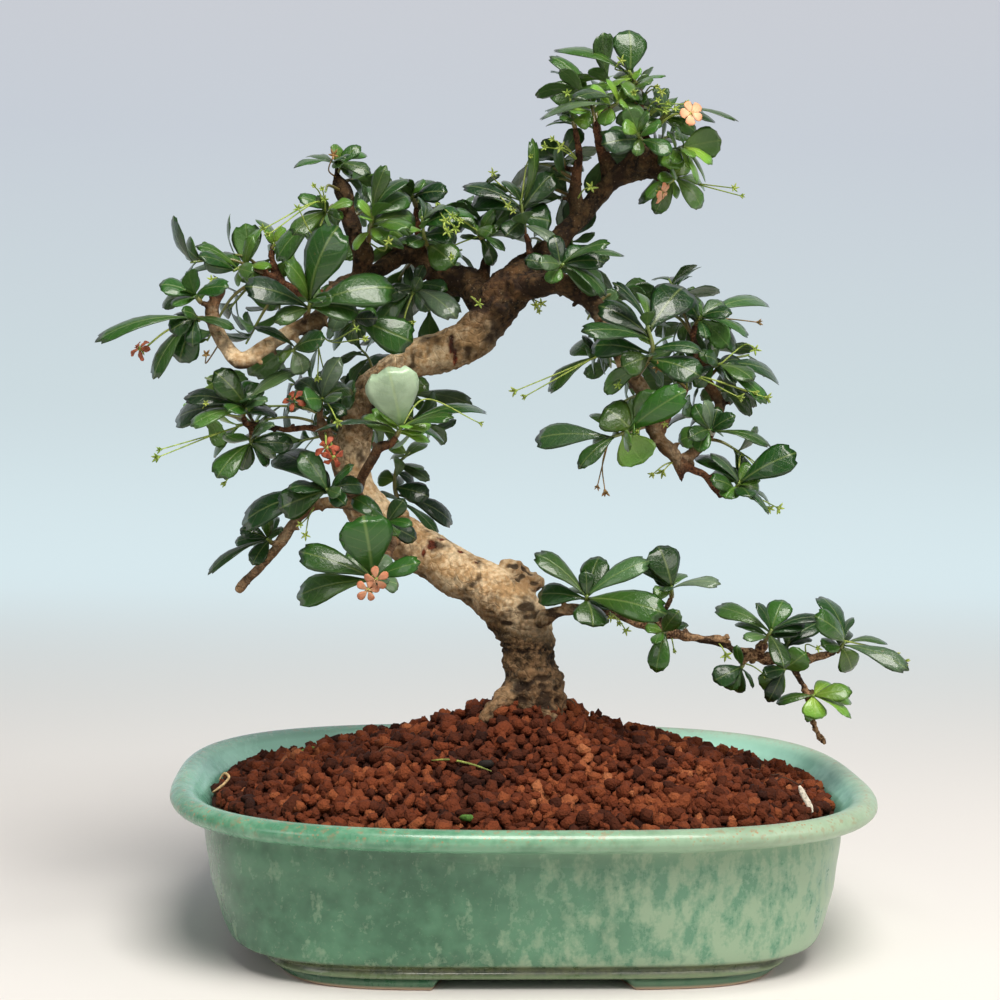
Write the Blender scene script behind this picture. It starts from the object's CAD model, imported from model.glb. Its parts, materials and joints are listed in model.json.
import json
import math

import bpy
import numpy as np
from mathutils import Matrix

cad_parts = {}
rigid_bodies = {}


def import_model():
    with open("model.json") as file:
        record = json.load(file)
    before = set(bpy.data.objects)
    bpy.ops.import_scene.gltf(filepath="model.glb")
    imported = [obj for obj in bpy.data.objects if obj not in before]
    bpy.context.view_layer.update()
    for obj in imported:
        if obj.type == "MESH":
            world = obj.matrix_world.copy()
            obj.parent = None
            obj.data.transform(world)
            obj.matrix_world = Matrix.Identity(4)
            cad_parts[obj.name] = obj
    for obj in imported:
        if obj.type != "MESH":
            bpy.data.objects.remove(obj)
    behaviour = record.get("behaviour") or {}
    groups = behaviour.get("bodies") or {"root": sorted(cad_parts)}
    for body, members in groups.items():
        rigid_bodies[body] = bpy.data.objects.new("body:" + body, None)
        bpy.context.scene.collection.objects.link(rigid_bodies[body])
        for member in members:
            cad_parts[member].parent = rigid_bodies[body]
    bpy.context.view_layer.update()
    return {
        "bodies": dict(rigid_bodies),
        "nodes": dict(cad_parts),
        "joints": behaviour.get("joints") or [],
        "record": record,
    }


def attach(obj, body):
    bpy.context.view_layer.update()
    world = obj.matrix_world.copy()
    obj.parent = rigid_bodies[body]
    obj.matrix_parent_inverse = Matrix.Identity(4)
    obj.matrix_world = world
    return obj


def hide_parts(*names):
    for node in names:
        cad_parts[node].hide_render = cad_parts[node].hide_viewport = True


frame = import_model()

# The pot: thrown stoneware, a low bellied oval with a rolled lip, a recessed band near the ground
# and four low feet. A jade glaze with pale, run-down flecks covers all but the soles of the feet.
# Sizes here and below are millimetres from the middle of the pot.
POT_MIDDLE = np.array([6.7, 0.0, 0.0])
POT_HALF_LENGTH, POT_HALF_DEPTH, POT_HEIGHT = 140.0, 107.0, 64.0
LIP_ROUNDNESS, FOOT_ROUNDNESS = 2.95, 5.0
FOOT_HEIGHT, FLOOR_TOP = 4.2, 11.0
DRAIN_PLACE, DRAIN_WIDTH = 55.0, 14.0
POT_SIDES, DRILL_SIDES = 288, 48


def body(name, points, faces, material, nodes=(), smooth=True, marks=None):
    """A closed mesh from points in millimetres from the pot's middle. faces holds arrays of 3 or 4
    columns, and marks holds one number a point under each attribute's name."""
    mesh = bpy.data.meshes.new(name)
    mesh.vertices.add(len(points))
    mesh.vertices.foreach_set("co", ((np.asarray(points, float) + POT_MIDDLE) / 1000).ravel())
    loops = np.concatenate([part.ravel() for part in faces]).astype(np.int32)
    sides = np.concatenate([np.full(len(part), part.shape[1]) for part in faces])
    mesh.loops.add(len(loops))
    mesh.loops.foreach_set("vertex_index", loops)
    mesh.polygons.add(len(sides))
    starts = np.concatenate([[0], np.cumsum(sides)[:-1]]).astype(np.int32)
    mesh.polygons.foreach_set("loop_start", starts)
    mesh.update(calc_edges=True)
    for key, values in (marks or {}).items():
        store = mesh.attributes.new(key, "FLOAT", "POINT").data
        store.foreach_set("value", np.asarray(values, np.float32))
    if smooth:
        mesh.shade_smooth()
    mesh.materials.append(material)
    piece = bpy.data.objects.new(name, mesh)
    bpy.context.scene.collection.objects.link(piece)
    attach(piece, "root")
    if nodes:
        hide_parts(*nodes)
    return piece


def grid_faces(rows, columns, closed):
    """Quads between neighbouring rows of a grid of points, the columns joined end to end if closed."""
    wide = columns if closed else columns - 1
    low = (np.arange(rows - 1)[:, None] * columns + np.arange(wide)[None, :]).ravel()
    step = (np.arange(rows - 1)[:, None] * columns + (np.arange(wide)[None, :] + 1) % columns).ravel()
    return np.stack([low, step, step + columns, low + columns], axis=1)


def curve_through(points, spacing):
    """Points about every spacing along a smooth curve through the given ones. Each stretch is a cubic
    whose knots are the square roots of the distances, so it doesn't loop at sharp bends."""
    points = np.asarray(points, float)
    ends = np.vstack([2 * points[0] - points[1], points, 2 * points[-1] - points[-2]])
    pieces = []
    for k in range(len(points) - 1):
        p0, p1, p2, p3 = ends[k:k + 4]
        steps = (p1 - p0, p2 - p1, p3 - p2)
        d0, d1, d2 = (max(1e-4, np.linalg.norm(step[:3]) ** 0.5) for step in steps)
        t1 = ((p1 - p0) / d0 - (p2 - p0) / (d0 + d1) + (p2 - p1) / d1) * d1
        t2 = ((p2 - p1) / d1 - (p3 - p1) / (d1 + d2) + (p3 - p2) / d2) * d1
        count = max(1, int(round(np.linalg.norm((p2 - p1)[:3]) / spacing)))
        t = (np.arange(count) / count)[:, None]
        bend, twist = 3 * (p2 - p1) - 2 * t1 - t2, t1 + t2 - 2 * (p2 - p1)
        pieces.append(p1 + t1 * t + bend * t ** 2 + twist * t ** 3)
    return np.vstack(pieces + [points[-1:]])


def superellipse(inset, angles, roundness, front_inset=None):
    """The pot's plan: |x/a|^n + |y/b|^n = 1, drawn in by an inset from the rim at the ends, and by
    the same or another one at the front and back."""
    front_inset = inset if front_inset is None else front_inset
    c, s = np.cos(angles), np.sin(angles)
    x = np.sign(c) * np.abs(c) ** (2 / roundness) * (POT_HALF_LENGTH - inset)
    y = np.sign(s) * np.abs(s) ** (2 / roundness) * (POT_HALF_DEPTH - front_inset)
    return x, y


def ink(red, green, blue):
    """A colour as light, from its 0 to 255 value on a screen."""
    shade = np.array([red, green, blue]) / 255
    light = np.where(shade <= 0.04045, shade / 12.92, ((shade + 0.055) / 1.055) ** 2.4)
    return (*light.tolist(), 1.0)


def add(tree, kind, inputs=None, **settings):
    """A shader node with its settings. Each input is a value, or the socket that feeds it."""
    made = tree.nodes.new("ShaderNode" + kind)
    for key, value in settings.items():
        setattr(made, key, value)
    for key, value in (inputs or {}).items():
        if isinstance(value, bpy.types.NodeSocket):
            tree.links.new(value, made.inputs[key])
        else:
            made.inputs[key].default_value = value
    return made


def patches_group():
    """Soft patches of two sizes, from 0 to 1: one cloud of noise, broken up by a finer one."""
    group = bpy.data.node_groups.new("patches", "ShaderNodeTree")
    sockets = (("Vector", "NodeSocketVector"), ("Scale", "NodeSocketFloat"), ("Breakup", "NodeSocketFloat"))
    for name, kind in sockets:
        group.interface.new_socket(name, in_out="INPUT", socket_type=kind)
    group.interface.new_socket("Mask", in_out="OUTPUT", socket_type="NodeSocketFloat")
    feed = group.nodes.new("NodeGroupInput")
    drain = group.nodes.new("NodeGroupOutput")
    vector, scale, breakup = feed.outputs[0], feed.outputs[1], feed.outputs[2]
    broad = add(group, "TexNoise", {"Vector": vector, "Scale": scale, "Detail": 3.0}).outputs[0]
    finer = add(group, "Math", {0: scale, 1: 5.3}, operation="MULTIPLY").outputs[0]
    fine = add(group, "TexNoise", {"Vector": vector, "Scale": finer, "Detail": 2.0}).outputs[0]
    level = add(group, "Math", {0: fine, 1: 0.5}, operation="SUBTRACT").outputs[0]
    lifted = add(group, "Math", {0: level, 1: breakup}, operation="MULTIPLY").outputs[0]
    cloudy = add(group, "Math", {0: broad, 1: lifted}, operation="ADD").outputs[0]
    mask = add(group, "MapRange", {"Value": cloudy, "From Min": 0.36, "From Max": 0.64}).outputs[0]
    group.links.new(mask, drain.inputs[0])
    return group


PATCHES = patches_group()


class Finish:
    """A material with one shader, and short ways to put nodes before it. place is the point of the
    object, in metres, and x, y and z are its parts."""

    def __init__(self, name, roughness, coat=0.0, specular=0.5):
        self.material = bpy.data.materials.new(name)
        self.material.use_nodes = True
        self.tree = self.material.node_tree
        self.tree.nodes.clear()
        self.shader = self.add("BsdfPrincipled", {"Roughness": roughness, "Coat Weight": coat,
                                                  "Specular IOR Level": specular})
        output = self.add("OutputMaterial", {"Surface": self.shader.outputs[0]})
        output.is_active_output = True
        self.place = self.add("TexCoord").outputs["Object"]
        self.x, self.y, self.z = self.add("SeparateXYZ", {0: self.place}).outputs

    def add(self, kind, inputs=None, **settings):
        return add(self.tree, kind, inputs, **settings)

    def feed(self, name, value):
        self.tree.links.new(value, self.shader.inputs[name])

    def math(self, operation, first, second=0.5):
        return self.add("Math", {0: first, 1: second}, operation=operation).outputs[0]

    def times(self, first, second):
        return self.math("MULTIPLY", first, second)

    def plus(self, first, second):
        return self.math("ADD", first, second)

    def minus(self, first, second):
        return self.math("SUBTRACT", first, second)

    def blend(self, share, low, high, way="MIX"):
        """Two colours mixed by a share from 0 to 1."""
        return self.add("Mix", {0: share, 6: low, 7: high}, data_type="RGBA", blend_type=way).outputs[2]

    def between(self, value, low, high, bottom=0.0, top=1.0, kind="LINEAR"):
        """bottom below low, top above high, and a ramp from one to the other."""
        ends = {"Value": value, "From Min": low, "From Max": high, "To Min": bottom, "To Max": top}
        return self.add("MapRange", ends, interpolation_type=kind).outputs[0]

    def mark(self, name):
        """A number that the mesh holds at each of its points."""
        return self.add("Attribute", attribute_name=name).outputs["Fac"]

    def noise(self, scale, detail=2.0, roughness=0.5, vector=None):
        vector = self.place if vector is None else vector
        inputs = {"Vector": vector, "Scale": scale, "Detail": detail, "Roughness": roughness}
        return self.add("TexNoise", inputs).outputs[0]

    def cells(self, scale, feature="F1"):
        inputs = {"Vector": self.place, "Scale": scale}
        return self.add("TexVoronoi", inputs, feature=feature).outputs["Distance"]

    def patches(self, scale, breakup=0.5):
        made = self.tree.nodes.new("ShaderNodeGroup")
        made.node_tree = PATCHES
        self.tree.links.new(self.place, made.inputs[0])
        made.inputs[1].default_value = scale
        made.inputs[2].default_value = breakup
        return made.outputs[0]

    def mottle(self, scale, breakup, low, high):
        """Patches of two colours."""
        return self.blend(self.patches(scale, breakup), low, high)

    def bump(self, height, strength, distance):
        made = self.add("Bump", {"Strength": strength, "Distance": distance, "Height": height})
        self.feed("Normal", made.outputs[0])


def glaze_material():
    glaze = Finish("jade_glaze", 0.3, coat=0.3)
    x, z = glaze.x, glaze.z
    drawn = glaze.add("Mapping", {"Vector": glaze.place, "Scale": (1.0, 1.0, 0.5)}).outputs[0]
    tone = glaze.mottle(34.0, 0.6, ink(56, 105, 76), ink(82, 134, 101))
    tone = glaze.blend(glaze.times(glaze.between(x, -0.03, 0.06), 0.8), tone, ink(102, 152, 122))
    # pale frost where the glaze has run, thick towards the right end, both ends and the foot
    region = glaze.plus(glaze.between(x, -0.05, 0.07), glaze.times(glaze.patches(16.0, 0.3), 0.35))
    ends = glaze.times(glaze.between(glaze.math("ABSOLUTE", x), 0.1, 0.125), 0.55)
    low = glaze.times(glaze.between(z, 0.02, 0.01), 0.55)
    region = glaze.plus(region, glaze.plus(ends, low))
    speck = glaze.noise(620.0, 3.0, 0.7)
    fleck = glaze.plus(glaze.noise(185.0, 4.0, 0.6, drawn), glaze.times(speck, 0.3))
    edge = glaze.minus(0.85, glaze.times(region, 0.19))
    frost = glaze.between(glaze.minus(fleck, edge), -0.06, 0.14)
    top = glaze.times(glaze.between(z, 0.047, 0.055), glaze.between(x, -0.05, 0.08))
    frost = glaze.times(glaze.math("MAXIMUM", frost, glaze.times(top, 0.75)), 0.66)
    tone = glaze.blend(frost, tone, ink(170, 190, 158))
    tone = glaze.blend(glaze.times(glaze.between(speck, 0.6, 0.7), 0.22), tone, ink(170, 190, 160))
    spill = glaze.between(glaze.noise(58.0, 5.0, vector=drawn), 0.54, 0.66)
    spill = glaze.times(spill, glaze.between(x, 0.09, -0.02))
    tone = glaze.blend(glaze.times(spill, 0.35), tone, ink(54, 102, 74))
    # brown-olive where the glaze is thin in the band above the feet, green again below it
    band = glaze.mottle(140.0, 0.8, ink(62, 64, 42), ink(98, 98, 66))
    band = glaze.blend(glaze.between(z, 0.0064, 0.0054), band, ink(106, 120, 84))
    band = glaze.blend(glaze.between(z, 0.0047, 0.0041), band, ink(50, 88, 60))
    tone = glaze.blend(glaze.between(z, 0.0104, 0.0088, top=0.85), tone, band)
    # the lip: paler to the right, with rust-brown dots and blotches on its crest
    lip = glaze.mottle(60.0, 0.7, ink(84, 140, 108), ink(116, 166, 134))
    lip = glaze.blend(glaze.times(glaze.between(x, -0.02, 0.1), 0.45), lip, ink(196, 200, 172))
    dots = glaze.times(glaze.between(glaze.cells(620.0), 0.34, 0.14), glaze.patches(120.0, 0.8))
    crest = glaze.between(z, 0.0575, 0.062)
    lip = glaze.blend(glaze.times(dots, crest), lip, ink(170, 128, 88))
    rust = glaze.times(glaze.between(glaze.noise(330.0, 4.0), 0.56, 0.66), crest)
    lip = glaze.blend(glaze.times(rust, 0.5), lip, ink(158, 124, 92))
    inner = glaze.mottle(45.0, 0.6, ink(104, 166, 140), ink(134, 192, 168))
    inner = glaze.blend(glaze.between(glaze.y, 0.03, 0.08), inner, ink(186, 242, 220))
    tone = glaze.blend(glaze.mark("inside"), glaze.blend(glaze.mark("lip"), tone, lip), inner)
    bare = glaze.between(z, 0.0016, 0.0006)
    glaze.feed("Base Color", glaze.blend(bare, tone, ink(196, 168, 144)))
    rough = glaze.between(frost, 0.0, 0.7, 0.26, 0.5)
    glaze.feed("Roughness", glaze.math("MAXIMUM", rough, bare))
    glaze.feed("Coat Weight", glaze.minus(0.3, bare))
    glaze.bump(glaze.plus(glaze.noise(70.0), glaze.times(frost, 0.25)), 0.35, 0.0006)
    return glaze.material


def pot_points():
    """One profile [end inset, height, roundness, front inset] carried round the plan: from the middle
    of the underside out, up the belly, over the lip and down inside to the floor's middle."""
    outer = [[39.2, FOOT_HEIGHT, FOOT_ROUNDNESS, 23.8], [38.0, 4.5, FOOT_ROUNDNESS, 22.6],
             [37.6, 5.6, FOOT_ROUNDNESS, 22.4], [38.4, 6.6, FOOT_ROUNDNESS, 23.6], [35.0, 7.8, 4.7, 23.5],
             [28.0, 8.8, 4.35, 22.4], [24.6, 9.9, 4.1, 21.2], [21.6, 14, 3.75, 19.2],
             [18.8, 21, 3.45, 17.6], [16.2, 28, 3.2, 15.9], [14.9, 35, 3.05, 14.8],
             [13.3, 45, 2.97, 13.4], [12.7, 54.6, LIP_ROUNDNESS, 12.7]]
    rim = [[7.2, 55.2], [3.2, 56.2], [0.7, 58.2], [0, 60.2], [0.9, 62.5], [3.4, POT_HEIGHT], [6.4, 63.8],
           [8.8, 62.6], [11.2, 59.6], [14.2, 56], [16.4, 50], [19, 40]]
    rim = [[inset, height, LIP_ROUNDNESS, inset] for inset, height in rim]
    floor = [[27, 19, 3.2, 26], [38, FLOOR_TOP, 3.2, 36]]
    profile = curve_through(outer + rim + floor, 1.1)
    profile = np.vstack([[100, FOOT_HEIGHT, 3.5, 80], [60, FOOT_HEIGHT, 3.5, 50], profile,
                         [60, FLOOR_TOP, 3.2, 50], [100, FLOOR_TOP, 3.2, 80]])
    angles = np.arange(POT_SIDES) / POT_SIDES * 2 * np.pi
    x, y = superellipse(profile[:, :1], angles[None, :], profile[:, 2:3], profile[:, 3:])
    points = np.stack([x, y, np.broadcast_to(profile[:, 1:2], x.shape)], axis=2)
    along = np.arange(len(profile))
    crest = int(np.argmax(profile[:, 1]))
    lip_mark = ((profile[:, 1] > 55.6) & (profile[:, 0] < 9)).astype(float)
    inside_mark = np.clip((along - crest) / 6, 0, 1) * (along > crest)
    return points, lip_mark, inside_mark


def drilled(pot):
    """The pot with a round hole through its floor left and right of the middle, cut by a Boolean."""
    bars = []
    for x in (-DRAIN_PLACE, DRAIN_PLACE):
        turn = np.arange(DRILL_SIDES) / DRILL_SIDES * 2 * np.pi
        middle, radius = x + POT_MIDDLE[0], DRAIN_WIDTH / 2
        ring = np.stack([middle + radius * np.cos(turn), radius * np.sin(turn), turn * 0], 1)
        bars.append(np.vstack([ring, ring + [0, 0, FLOOR_TOP + 4]]) / 1000)
    around = range(DRILL_SIDES)
    faces = [list(around)[::-1], [k + DRILL_SIDES for k in around]]
    steps = [(k, (k + 1) % DRILL_SIDES) for k in around]
    faces += [[k, step, step + DRILL_SIDES, k + DRILL_SIDES] for k, step in steps]
    faces += [[k + 2 * DRILL_SIDES for k in face] for face in faces]
    mesh = bpy.data.meshes.new("drill")
    mesh.from_pydata(np.vstack(bars).tolist(), [], faces)
    drill = bpy.data.objects.new("drill", mesh)
    bpy.context.scene.collection.objects.link(drill)
    cut = pot.modifiers.new("drains", "BOOLEAN")
    cut.object, cut.operation, cut.solver = drill, "DIFFERENCE", "EXACT"
    whole = bpy.data.meshes.new_from_object(pot.evaluated_get(bpy.context.evaluated_depsgraph_get()))
    pot.modifiers.clear()
    pot.data = whole
    bpy.data.objects.remove(drill)


glaze = glaze_material()
points, lip_mark, inside_mark = pot_points()
rows, columns = points.shape[:2]
middles = np.array([[0, 0, FOOT_HEIGHT], [0, 0, FLOOR_TOP]], float)
low = rows * columns
ring = np.arange(columns)
step = (ring + 1) % columns
below = np.stack([np.full(columns, low), step, ring], axis=1)
above = np.stack([np.full(columns, low + 1), low - columns + ring, low - columns + step], axis=1)
pot = body("glazed_pot", np.vstack([points.reshape(-1, 3), middles]),
           [grid_faces(rows, columns, True), below, above], glaze, nodes=["pot"],
           marks={"lip": np.append(np.repeat(lip_mark, columns), [0, 1]),
                  "inside": np.append(np.repeat(inside_mark, columns), [0, 1])})
drilled(pot)

# The feet: one low curved bar under each corner of the pot, with a gap at each side between two bars.
FOOT_STEPS, FOOT_SINK, FOOT_SLANT = 70, 0.8, 190.0
END_GAP_HALF, FRONT_GAP_HALF = 21.5, 34.0
FOOT_END_INSET, FOOT_FRONT_INSET = 44.0, 24.0


def foot_points(start, end):
    """A foot is a bar swept along the plan between two angles, its ends slanted in towards the ground.
    Its section is a list of [end inset, front inset, height]."""
    share = np.linspace(0, 1, FOOT_STEPS)
    top = FOOT_HEIGHT + FOOT_SINK
    section = [[43.2, 23.3, 0.6], [44.2, 24.2, 0.0], [55, 36, 0.0], [55.8, 36.8, 0.5], [56, 37, top],
               [38.2, 23.4, top]]
    rows = []
    for inset, front_inset, height in section:
        slant = (FOOT_HEIGHT - height) / FOOT_SLANT
        angles = (start + slant) + (end - start - 2 * slant) * share
        x, y = superellipse(inset, angles, FOOT_ROUNDNESS, front_inset)
        rows.append(np.stack([x, y, np.full(FOOT_STEPS, height)], axis=1))
    return np.array(rows)


first = math.asin((END_GAP_HALF / (POT_HALF_DEPTH - FOOT_FRONT_INSET)) ** (FOOT_ROUNDNESS / 2))
last = math.acos((FRONT_GAP_HALF / (POT_HALF_LENGTH - FOOT_END_INSET)) ** (FOOT_ROUNDNESS / 2))
half_turn, whole_turn = math.pi, 2 * math.pi
spans = [(first, last), (half_turn - last, half_turn - first), (half_turn + first, half_turn + last),
         (whole_turn - last, whole_turn - first)]
for k, (start, end) in enumerate(spans):
    foot = foot_points(start, end)
    rows, count = foot.shape[:2]
    here, step, top = np.arange(count - 1), np.arange(1, count), (rows - 1) * count
    lid = np.stack([top + here, top + step, step, here], axis=1)
    ends = np.arange(rows) * count
    ends = np.array([ends[::-1], ends + count - 1])
    sides = grid_faces(rows, count, False)
    body(f"pot_foot_{k + 1}", foot.reshape(-1, 3), [sides[:, ::-1], lid[:, ::-1], ends], glaze,
         nodes=["pot"], smooth=False,
         marks={"lip": np.zeros(rows * count), "inside": np.zeros(rows * count)})


# Two squares of black plastic mesh lie over the drainage holes, under the soil. The CAD pieces are
# right as they are, so they only get their moulded plastic here.
plastic = Finish("moulded_plastic", 0.55)
plastic.feed("Base Color", plastic.mottle(200.0, 0.5, ink(30, 32, 33), ink(44, 46, 46)))
for name in ("drainage_screen_left", "drainage_screen_right"):
    screen = frame["nodes"][name]
    screen.data.materials.clear()
    screen.data.materials.append(plastic.material)


# The soil: a mound of fired red-brown clay granules, 3 to 7 mm across, heaped towards the trunk.
# A bed fills the pot, and the granules lie on it loose, each turned and broken its own way.
SOIL_EDGE, SOIL_EDGE_HEIGHT, MOUND_RISE, MOUND_TIP, MOUND_BEND = 15.4, 57.0, 30.0, 8.0, 1.1
BACK_DROP = 5.0
TRUNK_FOOT, TRUNK_ROOM, WALL_ROOM = (4.0, 2.0), 10.0, 0.978
# Granules lie in staggered rows, which are closer together than the granules of one row.
GRANULE_PITCH, ROW_SHARE = 4.5, 0.866
BED_SIDES, BED_RINGS = 160, 44


def mound(x, y):
    """Height of the soil's top: it falls almost evenly from the middle to the pot's wall, lower at the
    back, with a small cone round the trunk. Also how far out each point lies, 1 at the wall."""
    u, v = np.abs(x) / (POT_HALF_LENGTH - SOIL_EDGE), np.abs(y) / (POT_HALF_DEPTH - SOIL_EDGE)
    out = (u ** LIP_ROUNDNESS + v ** LIP_ROUNDNESS) ** (1 / LIP_ROUNDNESS)
    near = np.exp(-(np.hypot(x - TRUNK_FOOT[0], y - TRUNK_FOOT[1]) / 25) ** 2)
    within = np.minimum(out, 1)
    edge = SOIL_EDGE_HEIGHT - BACK_DROP * np.clip((y + 20) / 100, 0, 1) * within
    return edge + MOUND_RISE * (1 - within ** MOUND_BEND) + MOUND_TIP * near, out


def cloud(points, size, seed):
    """Smooth random values from -1 to 1 at points of space: one random number at each corner of a
    lattice of that size, and an eased mix of the eight round each point."""
    place = np.asarray(points, float) / size
    corner = np.floor(place).astype(np.int64)
    share = place - corner
    share = share * share * (3 - 2 * share)
    total = np.zeros(len(place))
    for dx in (0, 1):
        for dy in (0, 1):
            for dz in (0, 1):
                key = (corner[:, 0] + dx) * 73856093 ^ (corner[:, 1] + dy) * 19349663
                key = key ^ (corner[:, 2] + dz) * 83492791
                key = (key + seed * 2654435761) & 0xFFFFFFFF
                key = ((key ^ (key >> 15)) * 2246822519) & 0xFFFFFFFF
                key = ((key ^ (key >> 13)) * 3266489917) & 0xFFFFFFFF
                value = ((key ^ (key >> 16)) & 0xFFFFFF) / 0x7FFFFF - 1
                total += value * np.prod(np.abs(1 - np.array([dx, dy, dz]) - share), axis=1)
    return total


def granule_material():
    clay = Finish("fired_clay", 0.93, specular=0.25)
    ramp = clay.add("ValToRGB", {"Fac": clay.mark("tone")})
    stops = [(0.0, ink(44, 18, 8)), (0.3, ink(84, 38, 18)), (0.62, ink(122, 58, 30)),
             (0.88, ink(154, 84, 48)), (1.0, ink(178, 108, 68))]
    first, last = ramp.color_ramp.elements
    first.position, first.color = stops[0]
    last.position, last.color = stops[-1]
    for position, color in stops[1:-1]:
        ramp.color_ramp.elements.new(position).color = color
    tone, grain = ramp.outputs[0], clay.noise(1100.0, 3.0)
    mottled = clay.blend(clay.between(grain, 0.35, 0.7), ink(58, 27, 15), tone)
    clay.feed("Base Color", clay.blend(0.68, mottled, tone))
    height = clay.plus(clay.times(grain, 0.9), clay.times(clay.cells(900.0), 0.5))
    clay.bump(height, 0.95, 0.0009)
    return clay.material


def bed_points():
    """Rings of the pot's plan, drawn in step by step: down the wall underneath, and over the mound."""
    angles = np.arange(BED_SIDES) / BED_SIDES * 2 * np.pi
    under = [[100, FLOOR_TOP + 1.9, 3.2], [38.6, FLOOR_TOP + 1.9, 3.2], [27.6, FLOOR_TOP + 8, 3.2],
             [19.6, 40, LIP_ROUNDNESS]]
    rings = []
    for inset, height, roundness in under:
        x, y = superellipse(inset, angles, roundness)
        rings.append(np.stack([x, y, np.full(BED_SIDES, height)], axis=1))
    for share in np.linspace(0.995, 0.02, BED_RINGS):
        x, y = superellipse(SOIL_EDGE, angles, LIP_ROUNDNESS)
        x, y = x * share, y * share
        height, _ = mound(x, y)
        points = np.stack([x, y, height - 1.1], axis=1)
        points[:, 2] += 0.7 * cloud(points, 5.0, 5)
        rings.append(points)
    return np.array(rings)


granule_clay = granule_material()
bed = bed_points()
low = bed.shape[0] * BED_SIDES
ring = np.arange(BED_SIDES)
step, last = (ring + 1) % BED_SIDES, low - BED_SIDES
under = np.stack([np.full(BED_SIDES, low), step, ring], axis=1)
over = np.stack([np.full(BED_SIDES, low + 1), last + ring, last + step], axis=1)
middles = np.array([[0, 0, bed[0, 0, 2]], [0, 0, bed[-1, :, 2].mean()]])
body("soil_bed", np.vstack([bed.reshape(-1, 3), middles]),
     [grid_faces(bed.shape[0], BED_SIDES, True), under, over], granule_clay,
     nodes=["soil"], marks={"tone": np.full(low + 2, 0.12)})


def rounded_box():
    """A box of 24 quads, its corners drawn in part of the way to a ball: the blank of every granule."""
    index, faces = {}, []
    for axis in range(3):
        for side in (-1, 1):
            for i in (-1, 0):
                for j in (-1, 0):
                    quad = []
                    for a, b in ((i, j), (i + 1, j), (i + 1, j + 1), (i, j + 1)):
                        spot = [0, 0, 0]
                        spot[axis], spot[(axis + 1) % 3], spot[(axis + 2) % 3] = side, a, b
                        quad.append(index.setdefault(tuple(spot), len(index)))
                    faces.append(quad if side > 0 else quad[::-1])
    points = np.array(sorted(index, key=index.get), float)
    return points / np.linalg.norm(points, axis=1, keepdims=True) ** 0.55, np.array(faces)


def turns(draw, count):
    """Random rotation matrices, from random quaternions."""
    q = draw.normal(size=(count, 4))
    w, x, y, z = (q / np.linalg.norm(q, axis=1, keepdims=True)).T
    rows = [[1 - 2 * (y * y + z * z), 2 * (x * y - w * z), 2 * (x * z + w * y)],
            [2 * (x * y + w * z), 1 - 2 * (x * x + z * z), 2 * (y * z - w * x)],
            [2 * (x * z - w * y), 2 * (y * z + w * x), 1 - 2 * (x * x + y * y)]]
    return np.array(rows).transpose(2, 0, 1)


def granules(name, front, seed):
    """Granules on a jittered lattice over one half of the mound, then a looser layer on top of them.
    Each is the blank with its corners pushed in or out, stretched three ways and turned."""
    draw = np.random.default_rng(seed)
    across = GRANULE_PITCH * ROW_SHARE
    rows, columns = int(POT_HALF_DEPTH / across) + 1, int(POT_HALF_LENGTH / GRANULE_PITCH) + 1
    row, column = np.mgrid[-rows:rows + 1, -columns:columns + 1]
    x = ((column + 0.5 * (row % 2)) * GRANULE_PITCH).ravel()
    y = (row * across).ravel()
    x, y = x + draw.normal(0, 0.55, x.size), y + draw.normal(0, 0.55, y.size)
    size = draw.uniform(1.8, 3.2, x.size) * np.where(draw.random(x.size) < 0.06, 1.3, 1)
    lift = draw.uniform(-0.6, 1.0, x.size)
    loose = draw.random(x.size) < 0.3
    x2 = x[loose] + draw.uniform(-2, 2, loose.sum())
    y2 = y[loose] + draw.uniform(-2, 2, loose.sum())
    size = np.concatenate([size, draw.uniform(1.3, 3.4, loose.sum())])
    lift = np.concatenate([lift, draw.uniform(2.2, 3.6, loose.sum())])
    x, y = np.concatenate([x, x2]), np.concatenate([y, y2])
    height, out = mound(x, y)
    bare = np.hypot(x - TRUNK_FOOT[0], y - TRUNK_FOOT[1]) > TRUNK_ROOM
    keep = (out < WALL_ROOM) & ((y < 0) == front) & bare
    x, y, size, lift, height, out = (values[keep] for values in (x, y, size, lift, height, out))
    lift = np.minimum(lift, 2.0 + 20 * (0.985 - out))
    blank, quads = rounded_box()
    shapes = blank[None] * (1 + draw.uniform(-0.27, 0.24, (len(x), len(blank), 1)))
    shapes += draw.normal(0, 0.07, shapes.shape)
    stretch = draw.uniform([0.8, 0.68, 0.5], [1.22, 1.0, 0.88], (len(x), 3))
    shapes = shapes * (size[:, None, None] * stretch[:, None, :])
    shapes = np.einsum("nij,nkj->nki", turns(draw, len(x)), shapes)
    points = shapes + np.stack([x, y, height + lift], axis=1)[:, None, :]
    faces = quads[None] + (np.arange(len(x)) * len(blank))[:, None, None]
    tone = np.clip(draw.normal(0.5, 0.2, len(x)) + 0.25 * cloud(np.stack([x, y, x * 0], 1), 22.0, 3)
                   + 0.1 * x / POT_HALF_LENGTH, 0, 1)
    body(name, points.reshape(-1, 3), [faces.reshape(-1, 4)], granule_clay,
         nodes=["soil"], smooth=False, marks={"tone": np.repeat(tone, len(blank))})


granules("granules_front", True, 21)
granules("granules_back", False, 22)


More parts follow.
